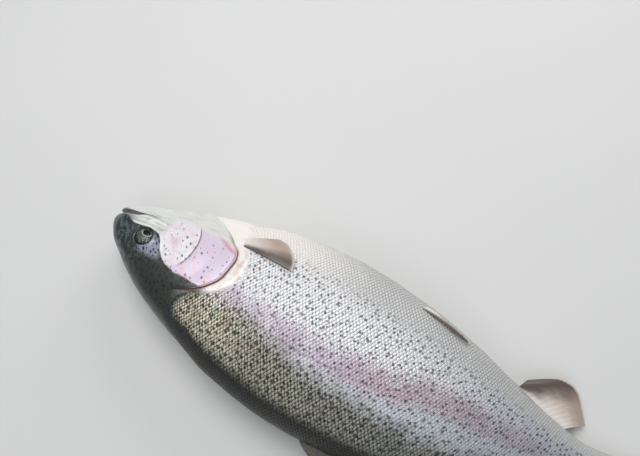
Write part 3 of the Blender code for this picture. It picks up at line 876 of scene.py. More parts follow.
def round_mesh(name, points, flat, surface):
    """A disk from rings of points, the first of which meet in its middle."""
    faces = ring_faces(len(points) - 1, EYE_SPOKES)
    points = np.concatenate([points[:1, 0], points[1:].reshape(-1, 3)])
    flat = np.concatenate([flat[:1, 0], flat[1:].reshape(-1, 2)])
    made = mended(new_mesh(name, in_world(points), faces, surface))
    set_values(made.data, "eye_map", stacked(flat[:, 0] / MM, flat[:, 1] / MM, 0.0))
    return made


def raise_lens(points, flat, side):
    """Raises the lens inside the pupil and sinks the rim of the iris round it."""
    from_pupil = np.linalg.norm((flat - PUPIL_OFFSET) / (PUPIL_LENGTH, PUPIL_HEIGHT), axis=-1)
    lift = dome(from_pupil, LENS_RISE, 1.0) - IRIS_DIP * hump(from_pupil - 1.15, 0.15)
    points[:EYE_PROFILE, :, 2] += side * lift[:EYE_PROFILE]


def make_eye(side, word, surfaces):
    """The eyeball with its iris and the lens that bulges through the pupil, under a clear cornea."""
    share = np.linspace(0, 1, EYE_PROFILE)
    front, back = BALL_RIM * share, BALL_RIM * np.linspace(1, 0, EYE_BACK)[1:]
    over = dome(front, EYE_BULGE, BALL_CURVE) - BALL_SINK
    under = over[-1] - dome(back, BALL_DEPTH, BALL_RIM)
    points, flat = eye_points(side, np.concatenate([front, back]), np.concatenate([over, under]))
    raise_lens(points, flat, side)
    ball = round_mesh("eyeball_" + word, points, flat, surfaces["eye"])
    cap = CORNEA_RIM * share
    clear = dome(cap, CORNEA_BULGE, CORNEA_CURVE) - CORNEA_SINK
    return ball, round_mesh("cornea_" + word, *eye_points(side, cap, clear), surfaces["cornea"])


# ---- Fins --------------------------------------------------------------------------------------

RAY_DEPTH = 0.09
FIN_ROOTING = 0.0020
PAIRED_ROOTING = 0.0034
PAIRED_CORNER = 0.10
SIDE_TAPER = 0.75
FIN_RIPPLE = 0.00030


def fin_values(columns, rows, rays):
    """Grids over a fin: place along its base, place along its rays, and how near a ray each point is.

    Each ray forks once on its way to the margin.
    """
    a = np.linspace(0, 1, columns + 1)[:, None] + np.zeros(rows + 1)
    b = np.linspace(0, 1, rows + 1)[None, :] + np.zeros((columns + 1, 1))
    phase = a * rays
    single = np.abs(np.cos(math.pi * phase)) ** 3.0
    forked = np.abs(np.cos(2 * math.pi * phase + math.pi / 2)) ** 2.2
    fork = smooth(b, 0.42, 0.62)
    return a, b, single * (1 - fork) + 0.85 * forked * fork


def plate_faces(shape):
    """Faces of a closed plate: two grids of points over each other, and a border between them."""
    numbers = np.arange(shape[0] * shape[1]).reshape(shape)
    count = numbers.size
    quads = stacked(numbers[:-1, :-1], numbers[1:, :-1], numbers[1:, 1:], numbers[:-1, 1:]).reshape(-1, 4)
    border = np.concatenate([numbers[:, 0], numbers[-1, 1:], numbers[-2::-1, -1], numbers[0, -2:0:-1]])
    after = np.roll(border, -1)
    rim = stacked(after, border, border + count, after + count)
    return np.concatenate([quads, quads[:, ::-1] + count, rim])


def fin_mesh(name, centre, thickness, rays, surface, columns=110, rows=44, ragged=0.018):
    """A fin of rays and thin skin between them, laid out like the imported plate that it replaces."""
    a, b, ray = fin_values(columns, rows, rays)
    margin = 1 - ragged * (1 - ray) * smooth(b, 0.5, 1.0) - 0.3 * ragged * np.sin(23 * a + 2) ** 2 * b
    straight = centre(a, b * margin)
    middle = posed(straight)
    full = thickness(b) * mix(SIDE_TAPER, 1.0, span(a, 0.0, 0.06, 0.90, 1.0))
    middle[..., 2] = np.maximum(middle[..., 2], full / 2)
    along, outward = np.gradient(middle, axis=(0, 1))
    normal = unit(np.cross(along, outward))
    thick = full * mix(1 - RAY_DEPTH, 1.0, np.maximum(ray, smooth(b, 0.10, 0.0)))
    ripple = FIN_RIPPLE * np.sin(9.0 * a + 3.0 * b) * smooth(b, 0.1, 0.8)
    sides = np.stack([middle + normal * (sign * thick / 2 + ripple)[..., None] for sign in (1, -1)])
    sides[..., 2] = np.maximum(sides[..., 2], 0.0)
    made = new_mesh(name, sides.reshape(-1, 3) + SHIFT, plate_faces(a.shape), surface)
    set_values(made.data, "fin_map", np.tile(stacked(a, b, ray).reshape(-1, 3), (2, 1)))
    set_values(made.data, "fin_size", np.full(2 * a.size, np.ptp(straight[..., 0]) / MM))
    return made


def fin_thickness(root):
    return lambda b: root + (FIN_EDGE - root) * b


def ridge_fin(name, fin, side, rays, surface):
    """A fin on the ridge of the back (side 1) or belly (side -1), its rays leaning backwards."""
    start, end, lean, lean_end, lengths, sag = fin
    ridge = back_height if side > 0 else belly_depth
    ray_length = monotone(lengths)

    def centre(a, b):
        x = start + (end - start) * a
        angle = lean + (lean_end - lean) * a
        reach = ray_length(a) * b
        height = ridge(x) + FIN_GAP + reach * np.sin(angle) - FIN_ROOTING * (1 - b) ** 4
        return stacked(x + reach * np.cos(angle), -side * height, -sag * b * b)

    return fin_mesh(name, centre, fin_thickness(FIN_THICKNESS), rays, surface)


def paired_fin(name, fin, side, rays, surface):
    """A fin folded back along the body, fanned out between its leading and its trailing ray."""
    leading_root, trailing_root, leading_tip, trailing_tip, bulge, lift = (np.array(part) for part in fin)

    def centre(a, b):
        root = mix(leading_root, trailing_root, a[..., None])
        tip = mix(leading_tip, trailing_tip, a[..., None])
        tip[..., 0] += bulge * np.sin(math.pi * a)
        tip = mix(tip, root, PAIRED_CORNER * smooth(a, 0.80, 1.0)[..., None] ** 2)
        place = mix(root, tip, b[..., None])
        clear = FIN_GAP + FIN_THICKNESS / 2 - PAIRED_ROOTING * (1 - b) ** 5
        return off_skin(place[..., 0], place[..., 1], side, clear + lift * b)

    thickness = fin_thickness(FIN_THICKNESS)
    return fin_mesh(name, centre, thickness, rays, surface, columns=96, rows=60, ragged=0.006)


def caudal_fin(surface):
    """The forked tail fin, spread to both sides of the axis."""

    def centre(a, b):
        spread = 2 * a - 1
        corner = np.maximum(0.0, np.abs(spread) - 0.85) / 0.15
        tip_x = FORK_X + (TAIL_TIP_X - FORK_X) * np.abs(spread) ** 1.6 - 0.005 * corner ** 2
        root = CAUDAL_ROOT_HEIGHT * spread
        tip = CAUDAL_SPREAD * spread
        start = BODY_END - CAUDAL_OVERLAP * (1 - corner)
        x = start + (tip_x - start) * b
        bulge = 0.0015 * np.sin(math.pi * b) * spread
        return stacked(x, -(root + (tip - root) * b + bulge), 0.0)

    thickness = fin_thickness(CAUDAL_ROOT_THICKNESS)
    return fin_mesh("tail_fin", centre, thickness, 19, surface, columns=190, rows=50, ragged=0.010)


def adipose_fin(surface):
    """A small fleshy lobe without rays."""

    def centre(a, b):
        root = ADIPOSE_START + ADIPOSE_BASE * a
        x = root + ADIPOSE_REACH * b * (0.25 + 0.75 * a ** 0.7)
        rise = ADIPOSE_HEIGHT * b * np.sin(math.pi * (0.10 + 0.45 * a)) - FIN_ROOTING * (1 - b) ** 4
        return stacked(x, -(back_height(root) + FIN_GAP + rise), 0.0)

    def thickness(b):
        return ADIPOSE_THICKNESS * np.sqrt(np.clip(1 - 0.9 * b * b, 0, 1))

    return fin_mesh("fat_fin", centre, thickness, 1, surface, columns=40, rows=30, ragged=0.0)


def make_fins(surfaces):
    """Each fin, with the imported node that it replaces."""
    dark, pale = surfaces["fin_dark"], surfaces["fin_pale"]
    return (
        (ridge_fin("back_fin", DORSAL_FIN, 1, 12, dark), "dorsal_fin", "fin_olive"),
        (ridge_fin("vent_fin", ANAL_FIN, -1, 11, pale), "anal_fin", "fin_beige"),
        (adipose_fin(dark), "adipose_fin", "fin_olive"),
        (caudal_fin(dark), "caudal_fin", "fin_olive"),
        (paired_fin("breast_fin_right", PECTORAL_FIN, 1, 13, pale), "pectoral_fin_right", "fin_beige"),
        (paired_fin("breast_fin_left", PECTORAL_FIN_LEFT, -1, 13, pale), "pectoral_fin_left", "fin_beige"),
        (paired_fin("belly_fin_right", PELVIC_FIN, 1, 10, pale), "pelvic_fin_right", "fin_beige"),
        (paired_fin("belly_fin_left", PELVIC_FIN, -1, 10, pale), "pelvic_fin_left", "fin_beige"),
    )


# ---- Scales ------------------------------------------------------------------------------------

# One scale: along it from its root, across it, and height over the skin, before its edge is rounded.
SCALE_ALONG = (0.0, 0.62, 1.0)
SCALE_ACROSS = (-1.0, -0.5, 0.0, 0.5, 1.0)
SCALE_WIDTHS = (0.62, 1.0, 0.86)
SCALE_HEIGHTS = (-0.15, 0.50, 0.90)
SCALE_ROUNDING = 0.34
SCALE_CROWN = 0.14
SCALE_EDGE = 0.36
ROOT_DEPTH = 0.30
LEAST_PROUD = 0.16
# The first scales behind the head, as shares of a full one, and how far others are flattened or shrunk.
FIRST_SIZE = 0.70
FIRST_HEIGHT = 0.24
FIRST_DEPTH = 0.60
BREAST_FLATTENS = 0.85
RIDGE_FLATTENS = 0.45
LAST_SHRINKS = 0.25
START_JITTER = 0.0010
SIZE_JITTER = 0.05
TURN_JITTER = 0.07
HEIGHT_JITTER = 0.10
PORE_RISE = 0.00012
TOP_FACES = 8
PATCH = 0.003
FIRST_COLUMN = 0.088
ROWS = (-52, 44)
COAT_PARTS = (0.0, 0.190, 0.270, 0.50)


def scale_template():
    """Points of a scale as (along, across, height, t, s), the last three under its rear edge, and faces."""
    points = []
    for t, width in zip(SCALE_ALONG, SCALE_WIDTHS):
        for s in SCALE_ACROSS:
            along = t - SCALE_ROUNDING * s * s * t * t
            height = np.interp(along, SCALE_ALONG, SCALE_HEIGHTS) - SCALE_CROWN * s * s
            points.append((along, width * s, height, t, s))
    points += [(along, s, height - SCALE_EDGE, t, side) for along, s, height, t, side in points[11:14]]
    faces = []
    for row in (0, 5):
        faces += [(row + i, row + i + 5, row + i + 6, row + i + 1) for i in range(4)]
    faces += [(10, 15, 11, 11), (11, 15, 16, 12), (12, 16, 17, 13), (13, 17, 14, 14)]
    faces += [(5, 0, 15, 10), (0, 1, 16, 15), (1, 2, 16, 16), (2, 3, 16, 16), (3, 4, 17, 16), (4, 9, 14, 17)]
    return np.array(points), np.array(faces)


def scale_roots(random):
    """Column, row from the lateral line and jitter of one side's scales, and the place of each column."""
    places = [FIRST_COLUMN]
    while places[-1] < BODY_END:
        places.append(places[-1] + float(scale_spacing(places[-1])))
    columns = np.arange(len(places))
    column, row = np.meshgrid(columns, np.arange(*ROWS), indexing="ij")
    column = column + 0.5 * (row % 2)
    x = np.interp(column, columns, places)
    angle = angle_at(x, row * ROW_SPACING * scale_spacing(x))
    jitter = random.uniform(-1, 1, x.shape + (4,))
    start = first_scales(angle) + START_JITTER * jitter[..., 0]
    kept = (angle > 0) & (angle < math.pi) & (x > start) & (x < SCALES_END) & (column < columns[-1])
    return column[kept], row[kept], jitter[kept], places


def scale_heights(along, height, x, angle, begun, shrunk):
    """Height over the skin of the scales' points: roots sunk in, rear edges proud, flat on the breast."""
    degrees = np.degrees(angle)
    breast = smooth(degrees, 98, 128) * (1 - 0.4 * smooth(x, 0.16, 0.26))
    ridge = smooth(degrees, 36, 22)
    flattened = (1 - BREAST_FLATTENS * breast) * (1 - RIDGE_FLATTENS * ridge)
    proud = mix(FIRST_HEIGHT, 1, begun) * shrunk * flattened
    buried = ROOT_DEPTH * (1 - along) ** 2 * mix(FIRST_DEPTH, 1, begun)
    return COAT * (height * np.maximum(proud, LEAST_PROUD) - buried)


def coat_points(side, random):
    """One side's scales: place, angle and height over the skin of each point, and what else it carries."""
    column, row, jitter, places = scale_roots(random)
    columns = np.arange(len(places))
    column, row = column[:, None], row[:, None]
    long, wide, high, share, half = scale_template()[0].T
    root_x = np.interp(column, columns, places)
    root_angle = angle_at(root_x, row * ROW_SPACING * scale_spacing(root_x))
    past_first = root_x - first_scales(root_angle)
    begun = smooth(past_first, -0.001, 0.013)
    shrunk = 1 - LAST_SHRINKS * smooth(root_x, 0.466, SCALES_END)
    size = mix(FIRST_SIZE, 1, begun) * shrunk * (1 + SIZE_JITTER * jitter[:, 1:2])
    along, across = long * SCALE_LENGTH * size, wide * SCALE_HALF_WIDTH * size
    turn = TURN_JITTER * jitter[:, 2:3]
    x = np.interp(column + along - turn * across, columns, places)
    rise = (row + across + turn * along) * ROW_SPACING * scale_spacing(x)
    tilted = high * (1 + HEIGHT_JITTER * jitter[:, 3:])
    height = scale_heights(long, tilted, root_x, root_angle, begun, shrunk)
    pore = (row == 0) * smooth(np.abs(wide), 0.3, 0.0) * (long > 0.3)
    return {
        "x": x,
        "angle": side * angle_at(x, rise),
        "height": height + PORE_RISE * pore,
        "own": stacked(half, share, jitter[:, 3:]),
        "root_x": root_x[:, 0],
        "root_angle": side * root_angle[:, 0],
        "kind": stacked(row == 0, smooth(past_first, -0.002, 0.005), begun)[:, 0],
    }


def coat_places(root_x, root_angle):
    """Each root's place on the skin laid flat, within 0 and 1 over this piece."""
    flat = stacked(root_x, np.abs(rise_of(root_x, root_angle) - rise_of(root_x, 0 * root_angle)))
    low, high = flat.min(axis=0), flat.max(axis=0)
    return 0.01 + 0.98 * (flat - low) / (high - low)


def add_flat_map(mesh, places):
    """Adds the UV map, from the place of each point."""
    corners = np.empty(len(mesh.loops), dtype=np.int32)
    mesh.loops.foreach_get("vertex_index", corners)
    flat_map = mesh.uv_layers.new(name="OFBake")
    flat_map.data.foreach_set("uv", places[corners].astype(np.float32).ravel())


def make_scale_piece(name, coat, surface):
    """One piece of the coat as one mesh, each scale a small patch of its UV map."""
    x, angle, own = coat["x"], coat["angle"], coat["own"]
    base = over_skin(x, angle, relief(x, angle) - shoulder_hollow(x, angle))
    lift = turned(outward_normal(x, angle), x) * coat["height"][..., None]
    points = in_world(base, resting_level(x, angle)) + lift
    points[..., 2] = np.maximum(points[..., 2], 0.0)
    count, each = x.shape
    faces = scale_template()[1]
    all_faces = (faces + each * np.arange(count)[:, None, None]).reshape(-1, 4)
    made = new_mesh(name, points.reshape(-1, 3), all_faces, surface)
    made.data.polygons.foreach_set("use_smooth", np.tile(np.arange(len(faces)) < TOP_FACES, count))
    store_markings(made.data, x.ravel(), angle.ravel())
    set_values(made.data, "scale_map", own.reshape(-1, 3))
    set_values(made.data, "scale_kind", np.repeat(coat["kind"], each, axis=0))
    places = coat_places(coat["root_x"], coat["root_angle"])[:, None]
    spread = stacked(own[..., 1] - 0.5, own[..., 0] / 2) * PATCH
    add_flat_map(made.data, (places + spread).reshape(-1, 2))
    return made


def make_coat(surface):
    random = np.random.default_rng(SEED)
    pieces = []
    for side, word in ((1, "right"), (-1, "left")):
        coat = coat_points(side, random)
        for part, (start, end) in enumerate(zip(COAT_PARTS, COAT_PARTS[1:])):
            chosen = (coat["root_x"] >= start) & (coat["root_x"] < end)
            piece = {key: values[chosen] for key, values in coat.items()}
            pieces.append(make_scale_piece(f"scales_{word}_{part + 1}", piece, surface))
    return pieces


# ---- Materials ---------------------------------------------------------------------------------


def colour(red, green, blue):
    """A colour given as it is seen on a screen, 0 to 255, in the linear values that shaders take."""
    seen = np.array((red, green, blue)) / 255
    linear = np.where(seen <= 0.04045, seen / 12.92, ((seen + 0.055) / 1.055) ** 2.4)
    return (*(float(value) for value in linear), 1.0)


class Wire:
    """A value on its way through a material. Sums and products with other wires or numbers are nodes too."""

    def __init__(self, socket):
        self.socket = socket

    def math(self, operation, *others):
        return add_node(self, "Math", dict(enumerate((self, *others))), operation=operation)

    def __add__(self, other):
        return self.math("ADD", other)

    def __sub__(self, other):
        return self.math("SUBTRACT", other)

    def __mul__(self, other):
        return self.math("MULTIPLY", other)

    def __abs__(self):
        return self.math("ABSOLUTE")

    __radd__ = __add__
    __rmul__ = __mul__


def feed(socket, value):
    """Links a wire to a node's input, or sets the input to a number or a colour."""
    if isinstance(value, Wire):
        socket.id_data.links.new(value.socket, socket)
    else:
        socket.default_value = value


def add_node(wire, kind, inputs, output=0, **settings):
    """Adds a node to the wire's material, feeds its inputs by number or name, and returns one output."""
    node = wire.socket.id_data.nodes.new("ShaderNode" + kind)
    for name, value in settings.items():
        setattr(node, name, value)
    for name, value in inputs.items():
        feed(node.inputs[name], value)
    return Wire(node.outputs[output])


class Tree:
    """A material under construction: where its first wires come from and where the last ones end."""

    def __init__(self, name):
        self.material = bpy.data.materials.new(name)
        self.material.use_nodes = True
        self.nodes = self.material.node_tree.nodes
        self.shader = self.nodes["Principled BSDF"]

    def start(self, kind, output=0, **inputs):
        """Adds a node that takes in no wires and returns one of its outputs."""
        node = self.nodes.new("ShaderNode" + kind)
        for name, value in inputs.items():
            node.inputs[name].default_value = value
        return Wire(node.outputs[output])

    def constant(self, value):
        wire = self.start("Value")
        wire.socket.default_value = value
        return wire

    def read(self, name, output="Vector"):
        """The value that the mesh stores under this name at each point."""
        wire = self.start("Attribute", output)
        wire.socket.node.attribute_name = name
        return wire

    def markings(self):
        """The place on the skin, and how it lies to the lines of the markings."""
        return self.read("skin_map"), parts(self.read("tones"))

    def finish(self, **sockets):
        """Sets the shader's sockets, named with underscores for spaces."""
        for name, value in sockets.items():
            feed(self.shader.inputs[name.replace("_", " ")], value)
        return self.material


def parts(vector):
    node = add_node(vector, "SeparateXYZ", {0: vector}).socket.node
    return tuple(Wire(output) for output in node.outputs)


def joined(x, y):
    return add_node(x, "CombineXYZ", {0: x, 1: y})


def most(first, second):
    return first.math("MAXIMUM", second)


def distance_of(x, y):
    return (x * x + y * y).math("SQRT")


def ramp(value, low, high, start=0.0, end=1.0):
    """A smooth step from start at low to end at high; low may be the larger one."""
    if low > high:
        low, high, start, end = high, low, end, start
    inputs = dict(enumerate((value, low, high, start, end)))
    return add_node(value, "MapRange", inputs, interpolation_type="SMOOTHSTEP")


def band(value, middle, half, soft):
    """1 within half of the middle, falling to 0 over the soft width beyond."""
    return ramp(abs(value - middle), half + soft, half)


def paint(base, over, share):
    """The base colour, painted over with another one by this share."""
    return add_node(share, "Mix", {0: share, 6: base, 7: over}, 2, data_type="RGBA")


def noise(place, size, detail=2.0, rough=0.5, output=0):
    """Noise whose features are about this many units of the place across."""
    inputs = {"Vector": place, "Scale": 1 / size, "Detail": detail, "Roughness": rough}
    return add_node(place, "TexNoise", inputs, output)


def shifted(place, size, reach):
    """The place moved about by noise, for irregular outlines."""
    centred = {0: noise(place, size, output=1), 1: (0.5, 0.5, 0.5)}
    wander = add_node(place, "VectorMath", centred, operation="SUBTRACT")
    moved = {0: wander, 1: (reach, reach, 0.0), 2: place}
    return add_node(place, "VectorMath", moved, operation="MULTIPLY_ADD")


def scattered(place, size, smallest, largest, soft=0.06):
    """Irregular spots, about one to each patch of this size, between two radii in units of it."""
    inputs = {"Vector": place, "Scale": 1 / size, "Randomness": 0.9}
    near = add_node(place, "TexVoronoi", inputs, "Distance", voronoi_dimensions="2D")
    number = parts(Wire(near.socket.node.outputs["Color"]))[0]
    return ramp(near - (smallest + (largest - smallest) * number), soft, -soft)


def bump(height, distance, strength):
    return add_node(height, "Bump", {"Strength": strength, "Distance": distance, "Height": height})


BLACK_SPOT = colour(36, 37, 40)
OLIVE_LIGHT = (colour(255, 246, 220), colour(190, 185, 166), colour(146, 149, 143))
OLIVE_DARK = (colour(88, 82, 72), colour(66, 66, 58))
OLIVE_BROWN = colour(200, 180, 156)
OLIVE_GREEN = colour(184, 196, 166)
BACK_RIDGE = colour(42, 44, 38)
SILVER = colour(240, 240, 242)
SILVER_EDGE = colour(220, 218, 223)
LAVENDER = colour(206, 192, 208)
ROSE = colour(200, 178, 187)
SILVER_BLUE = colour(200, 208, 218)
TAIL_GREY = colour(160, 164, 174)
BELLY = colour(246, 240, 232)
BELLY_REAR = colour(200, 200, 198)


def spot_mask(place, tones):
    """The fish's black spots: dense and small on the back, scattered on the flank, none on the belly."""
    olive, _, share = tones
    wandering = shifted(place, 1.9, 2.1)
    back = scattered(wandering, 4.6, 0.18, 0.32) * ramp(olive, -8, 2) * 0.88
    above_belly = ramp(share + 0.10 * noise(place, 14), 0.775, 0.70)
    faint = ramp(noise(place, 6), 0.30, 0.48, 0.45, 1.0)
    return most(back, scattered(wandering, 4.6, 0.14, 0.27, 0.09) * above_belly * faint * 0.76)


def back_colour(place, along, patches, grains, dot):
    """The back: dark, with a pale dot on each scale that turns from gold to grey towards the tail."""
    gold = paint(OLIVE_LIGHT[0], OLIVE_LIGHT[1], ramp(along, 118, 175))
    gold = paint(gold, OLIVE_LIGHT[2], ramp(along, 165, 300))
    tint = noise(place, 12)
    gold = paint(gold, OLIVE_BROWN, ramp(tint, 0.52, 0.66) * ramp(along, 200, 140, 0.08, 0.6))
    gold = paint(gold, OLIVE_GREEN, ramp(tint, 0.48, 0.34) * ramp(along, 260, 160, 0.15, 0.6))
    dark = paint(*OLIVE_DARK, ramp(along, 130, 200))
    gold = paint(gold, dark, ramp(patches, 0.5, 0.75, 0.0, 0.30))
    gold = paint(gold, dark, ramp(grains, 0.40, 0.70, 0.0, 0.25))
    return paint(dark, gold, dot)


def flank_colour(along, stripe, patches, sheen):
    """The flank: silver with a lilac to rose stripe, bluish beside it and greyer towards the tail."""
    silver = paint(SILVER_EDGE, SILVER, sheen)
    blue = band(stripe, 1.7, 0.5, 0.9) * ramp(along, 150, 200) * 0.6
    silver = paint(silver, SILVER_BLUE, blue)
    pink = band(stripe, 0.0, 0.3, 1.1) * ramp(patches, 0.28, 0.58, 0.45, 1.0)
    silver = paint(silver, paint(LAVENDER, ROSE, ramp(along, 215, 255)), pink)
    return paint(silver, TAIL_GREY, ramp(along, 230, 420, 0.0, 0.75))


def body_colour(place, tones, dot, sheen):
    """Colour of trunk and tail, with each scale's pale dot on the back and its sheen on the flank."""
    olive, stripe, share = tones
    along = parts(place)[0]
    patches, grains = noise(place, 16, 3), noise(place, 2.4)
    belly = paint(BELLY, BELLY_REAR, ramp(along, 130, 230))
    flank = paint(flank_colour(along, stripe, patches, sheen), belly, ramp(share, 0.60, 0.74))
    back = back_colour(place, along, patches, grains, dot)
    wobble = 13 * patches + 9 * grains + 12 * noise(place, 5.5) - 17
    whole = paint(flank, back, ramp(olive + wobble, -13, 10))
    return paint(whole, BACK_RIDGE, ramp(share + 0.05 * grains, 0.265, 0.190))


def shoulder_colour(place, tones):
    """The bare band behind the gill opening: cream with a rosy shade, dark above."""
    patches = noise(place, 7, 3)
    shade = paint(SHOULDER, SHOULDER_ROSE, ramp(patches, 0.42, 0.7))
    shade = paint(shade, HEAD_DARK, ramp(tones[0] + 6 * patches, 1, 8))
    return paint(shade, BELLY, ramp(tones[2], 0.60, 0.70))


WATER_IOR = 1.34
WET = {"Coat_Weight": 0.55, "Coat_Roughness": 0.12, "Coat_IOR": WATER_IOR, "Subsurface_Scale": 1.0}


def coat_material():
    """Scales: pale in the middle and dark round the rim on the back, silver on the flank.

    The first rows behind the head take over the colour of the bare shoulder.
    """
    tree = Tree("scales")
    place, tones = tree.markings()
    across, along, own = parts(tree.read("scale_map"))
    on_line, coloured, begun = parts(tree.read("scale_kind"))
    reach = distance_of(across * 0.92, (along - 0.73) * 2.9)
    dot = ramp(reach, 0.84, 0.34) * ramp(own, -1, 1, 0.78, 1.0)
    dot = most(dot, ramp(begun, 0.6, 0.0, 0.0, 0.5))
    sheen = ramp(reach, 0.90, 0.50) * ramp(own, 1, -1, 0.80, 1.0)
    sheen = most(sheen, ramp(begun, 0.8, 0.0))
    tone = body_colour(place, tones, dot, sheen)
    tone = paint(tone, BLACK_SPOT, spot_mask(place, tones))
    pore = on_line * band(across, 0.0, 0.12, 0.16) * ramp(along, 0.50, 0.66)
    tone = paint(tone, BLACK_SPOT, pore * 0.35)
    tone = paint(shoulder_colour(place, tones), tone, coloured)
    grain = noise(place, 0.5, 3, 0.6)
    circles = ((along + 0.3 * across * across) * 46).math("SINE")
    return tree.finish(
        Base_Color=tone,
        Metallic=0.15,
        Roughness=ramp(grain, 0.2, 0.8, 0.32, 0.52),
        Normal=bump(grain + circles * 0.10, 0.00003, 0.5),
        Coat_Weight=0.40,
        Coat_Roughness=0.22,
        Coat_IOR=WATER_IOR,
    )


HEAD_SPOT = colour(24, 26, 28)
HEAD_DARK = colour(42, 46, 42)
HEAD_OLIVE = colour(58, 63, 56)
SNOUT_TEAL = colour(38, 48, 52)
# Paler patches on the snout: painted bluish highlight.
SNOUT_HIGHLIGHT = colour(84, 97, 101)
HEAD_LAVENDER = colour(156, 162, 180)
CHEEK = colour(232, 224, 231)
CHEEK_ROSE = colour(224, 188, 202)
CHEEK_GREY = colour(186, 174, 188)
OPERCLE = colour(214, 201, 222)
JAW = colour(229, 229, 223)
JAW_SHADE = colour(170, 178, 170)
# Grey for painted shade in the creases of the jaws.
CREASE_SHADE = colour(122, 130, 126)
LIP_GREY = colour(132, 138, 142)
PALE_RIM = colour(244, 248, 246)
SHOULDER = colour(243, 240, 236)
SHOULDER_ROSE = colour(232, 202, 192)
# Painted grey shadow line along the start of the scales.
SHOULDER_SHADOW_LINE = colour(158, 154, 148)
BLOOD = colour(208, 98, 108)
GILL_RIM = colour(150, 96, 106)
GILL_DARK = colour(150, 106, 98)
MOUTH_LINING = colour(196, 192, 200)


def crown_colour(place, along, height, patches, grains):
    """The dark top of the head: teal on the snout with paler grey patches of painted bluish highlight,
    lavender behind the eye.
    """
    dark = paint(HEAD_DARK, HEAD_OLIVE, ramp(grains, 0.30, 0.75))
    teal = paint(SNOUT_TEAL, SNOUT_HIGHLIGHT, ramp(noise(place, 4.5, 3), 0.44, 0.60))
    dark = paint(dark, teal, ramp(along, 62, 18) * ramp(patches, 0.3, 0.6, 0.5, 1))
    behind_eye = band(along, 50, 7, 7) * band(height, 11.5, 4.5, 6)
    return paint(dark, HEAD_LAVENDER, behind_eye * ramp(grains, 0.25, 0.6, 0.3, 1))


def cheek_colour(place, behind_cheek, patches, grains):
    """Rose and white on the cheek, lavender on the gill cover behind its bone edge."""
    cheek = paint(CHEEK, CHEEK_ROSE, ramp(patches, 0.46, 0.72))
    cheek = paint(cheek, PALE_RIM, ramp(grains, 0.42, 0.78, 0.0, 0.5))
    cheek = paint(cheek, CHEEK_GREY, ramp(noise(place, 3.0, 3), 0.54, 0.74, 0.0, 0.5))
    plate = paint(OPERCLE, CHEEK_ROSE, ramp(patches, 0.45, 0.72))
    plate = paint(plate, CHEEK, ramp(grains, 0.42, 0.78, 0.0, 0.4))
    return paint(cheek, plate, ramp(behind_cheek, -0.6, 0.6))


def jaw_colour(along, height, plate_share, share):
    """Pale jaws and throat, with grey streaks along them, a grey lip, and painted shade in the creases over
    the upper jaw and along the edge of its plate.
    """
    streaks = noise(joined(along * 0.16, share * 72), 2.2, 3)
    tone = paint(JAW, JAW_SHADE, ramp(streaks, 0.44, 0.74) * 0.35)
    # Painted shade in the skin's creases between the mouth and the eye.
    crease_shading = band(height, -7.5, 3.0, 3.5) * band(along, 42, 14, 9)
    tone = paint(tone, CREASE_SHADE, crease_shading * ramp(streaks, 0.48, 0.66) * 0.50)
    tone = paint(tone, LIP_GREY, ramp(along, 30, 14) * ramp(height, -6.5, -4))
    # Painted shade along the edge of the upper jaw's plate.
    return paint(tone, CREASE_SHADE, band(plate_share, 0.30, 0.12, 0.3) * 0.28)


def head_colour(place, tones, head_map, behind_cheek, grains):
    """Colour of the head: dark above, rose and lavender on the gill cover, pale jaws and throat."""
    olive, _, share = tones
    along, height, plate_share = head_map
    patches = noise(place, 9, 3)
    cheek = cheek_colour(place, behind_cheek, patches, grains)
    jaw = jaw_colour(along, height, plate_share, share)
    side = paint(cheek, jaw, ramp(height, -16, -25) + ramp(along, 56, 47))
    above = ramp(olive + 2.6 * patches + 2.4 * grains - 2.5, -0.8, 0.9)
    tone = paint(side, crown_colour(place, along, height, patches, grains), above)
    rim = band(olive, -0.1, 0.35, 0.7) * ramp(along, 19, 25) * ramp(along, 66, 54)
    tone = paint(tone, PALE_RIM, rim * ramp(grains, 0.30, 0.62, 0.20, 0.85))
    # Painted shade in the groove behind the cheek's bone edge.
    groove_shade = band(behind_cheek, 0.6, 0.25, 0.6) * band(height, -3, 14, 7) * 0.75
    return paint(tone, HEAD_DARK, groove_shade)


def head_spots(place, olive, along, height, behind_gill):
    """Small black spots on the top of the head and the gill cover, none on the jaws."""
    wandering = shifted(place, 2.0, 1.5)
    top = scattered(wandering, 4.2, 0.16, 0.30, 0.07) * ramp(olive, -0.5, 1.5) * 0.9
    cover = scattered(wandering, 6.0, 0.02, 0.19) * ramp(height, -17, -12) * ramp(along, 56, 62)
    return most(top, cover * ramp(behind_gill, 0.5, -2) * 0.75)


def bare_shoulder(place, tones, under_scales, grains):
    """The shoulder's colour, with a painted grey shadow line where the first scales begin."""
    edge = band(under_scales, 0.25, 0.10, 0.24) * ramp(tones[2], 0.66, 0.56) * 0.35
    return paint(shoulder_colour(place, tones), SHOULDER_SHADOW_LINE, edge * ramp(grains, 0.3, 0.6))


def gill_marks(tone, along, height, behind_gill, grains):
    """Adds the rosy rim of the gill cover and the red streak at its lower corner."""
    rim = ramp(height, -34, -22) * ramp(height, 27, 20) * 0.6 * band(behind_gill, -0.3, 0.3, 0.9)
    tone = paint(tone, GILL_RIM, rim)
    streak_height = ramp(along, 86, 112, 0.0, 7.0) - 24.0
    streak = band(height - streak_height, 0.8, 0.1, 2.6) * ramp(along, 88, 102)
    streak = streak * ramp(behind_gill, 0.0, -0.6) * ramp(grains, 0.3, 0.7, 0.15, 0.8)
    return paint(tone, BLOOD, streak)


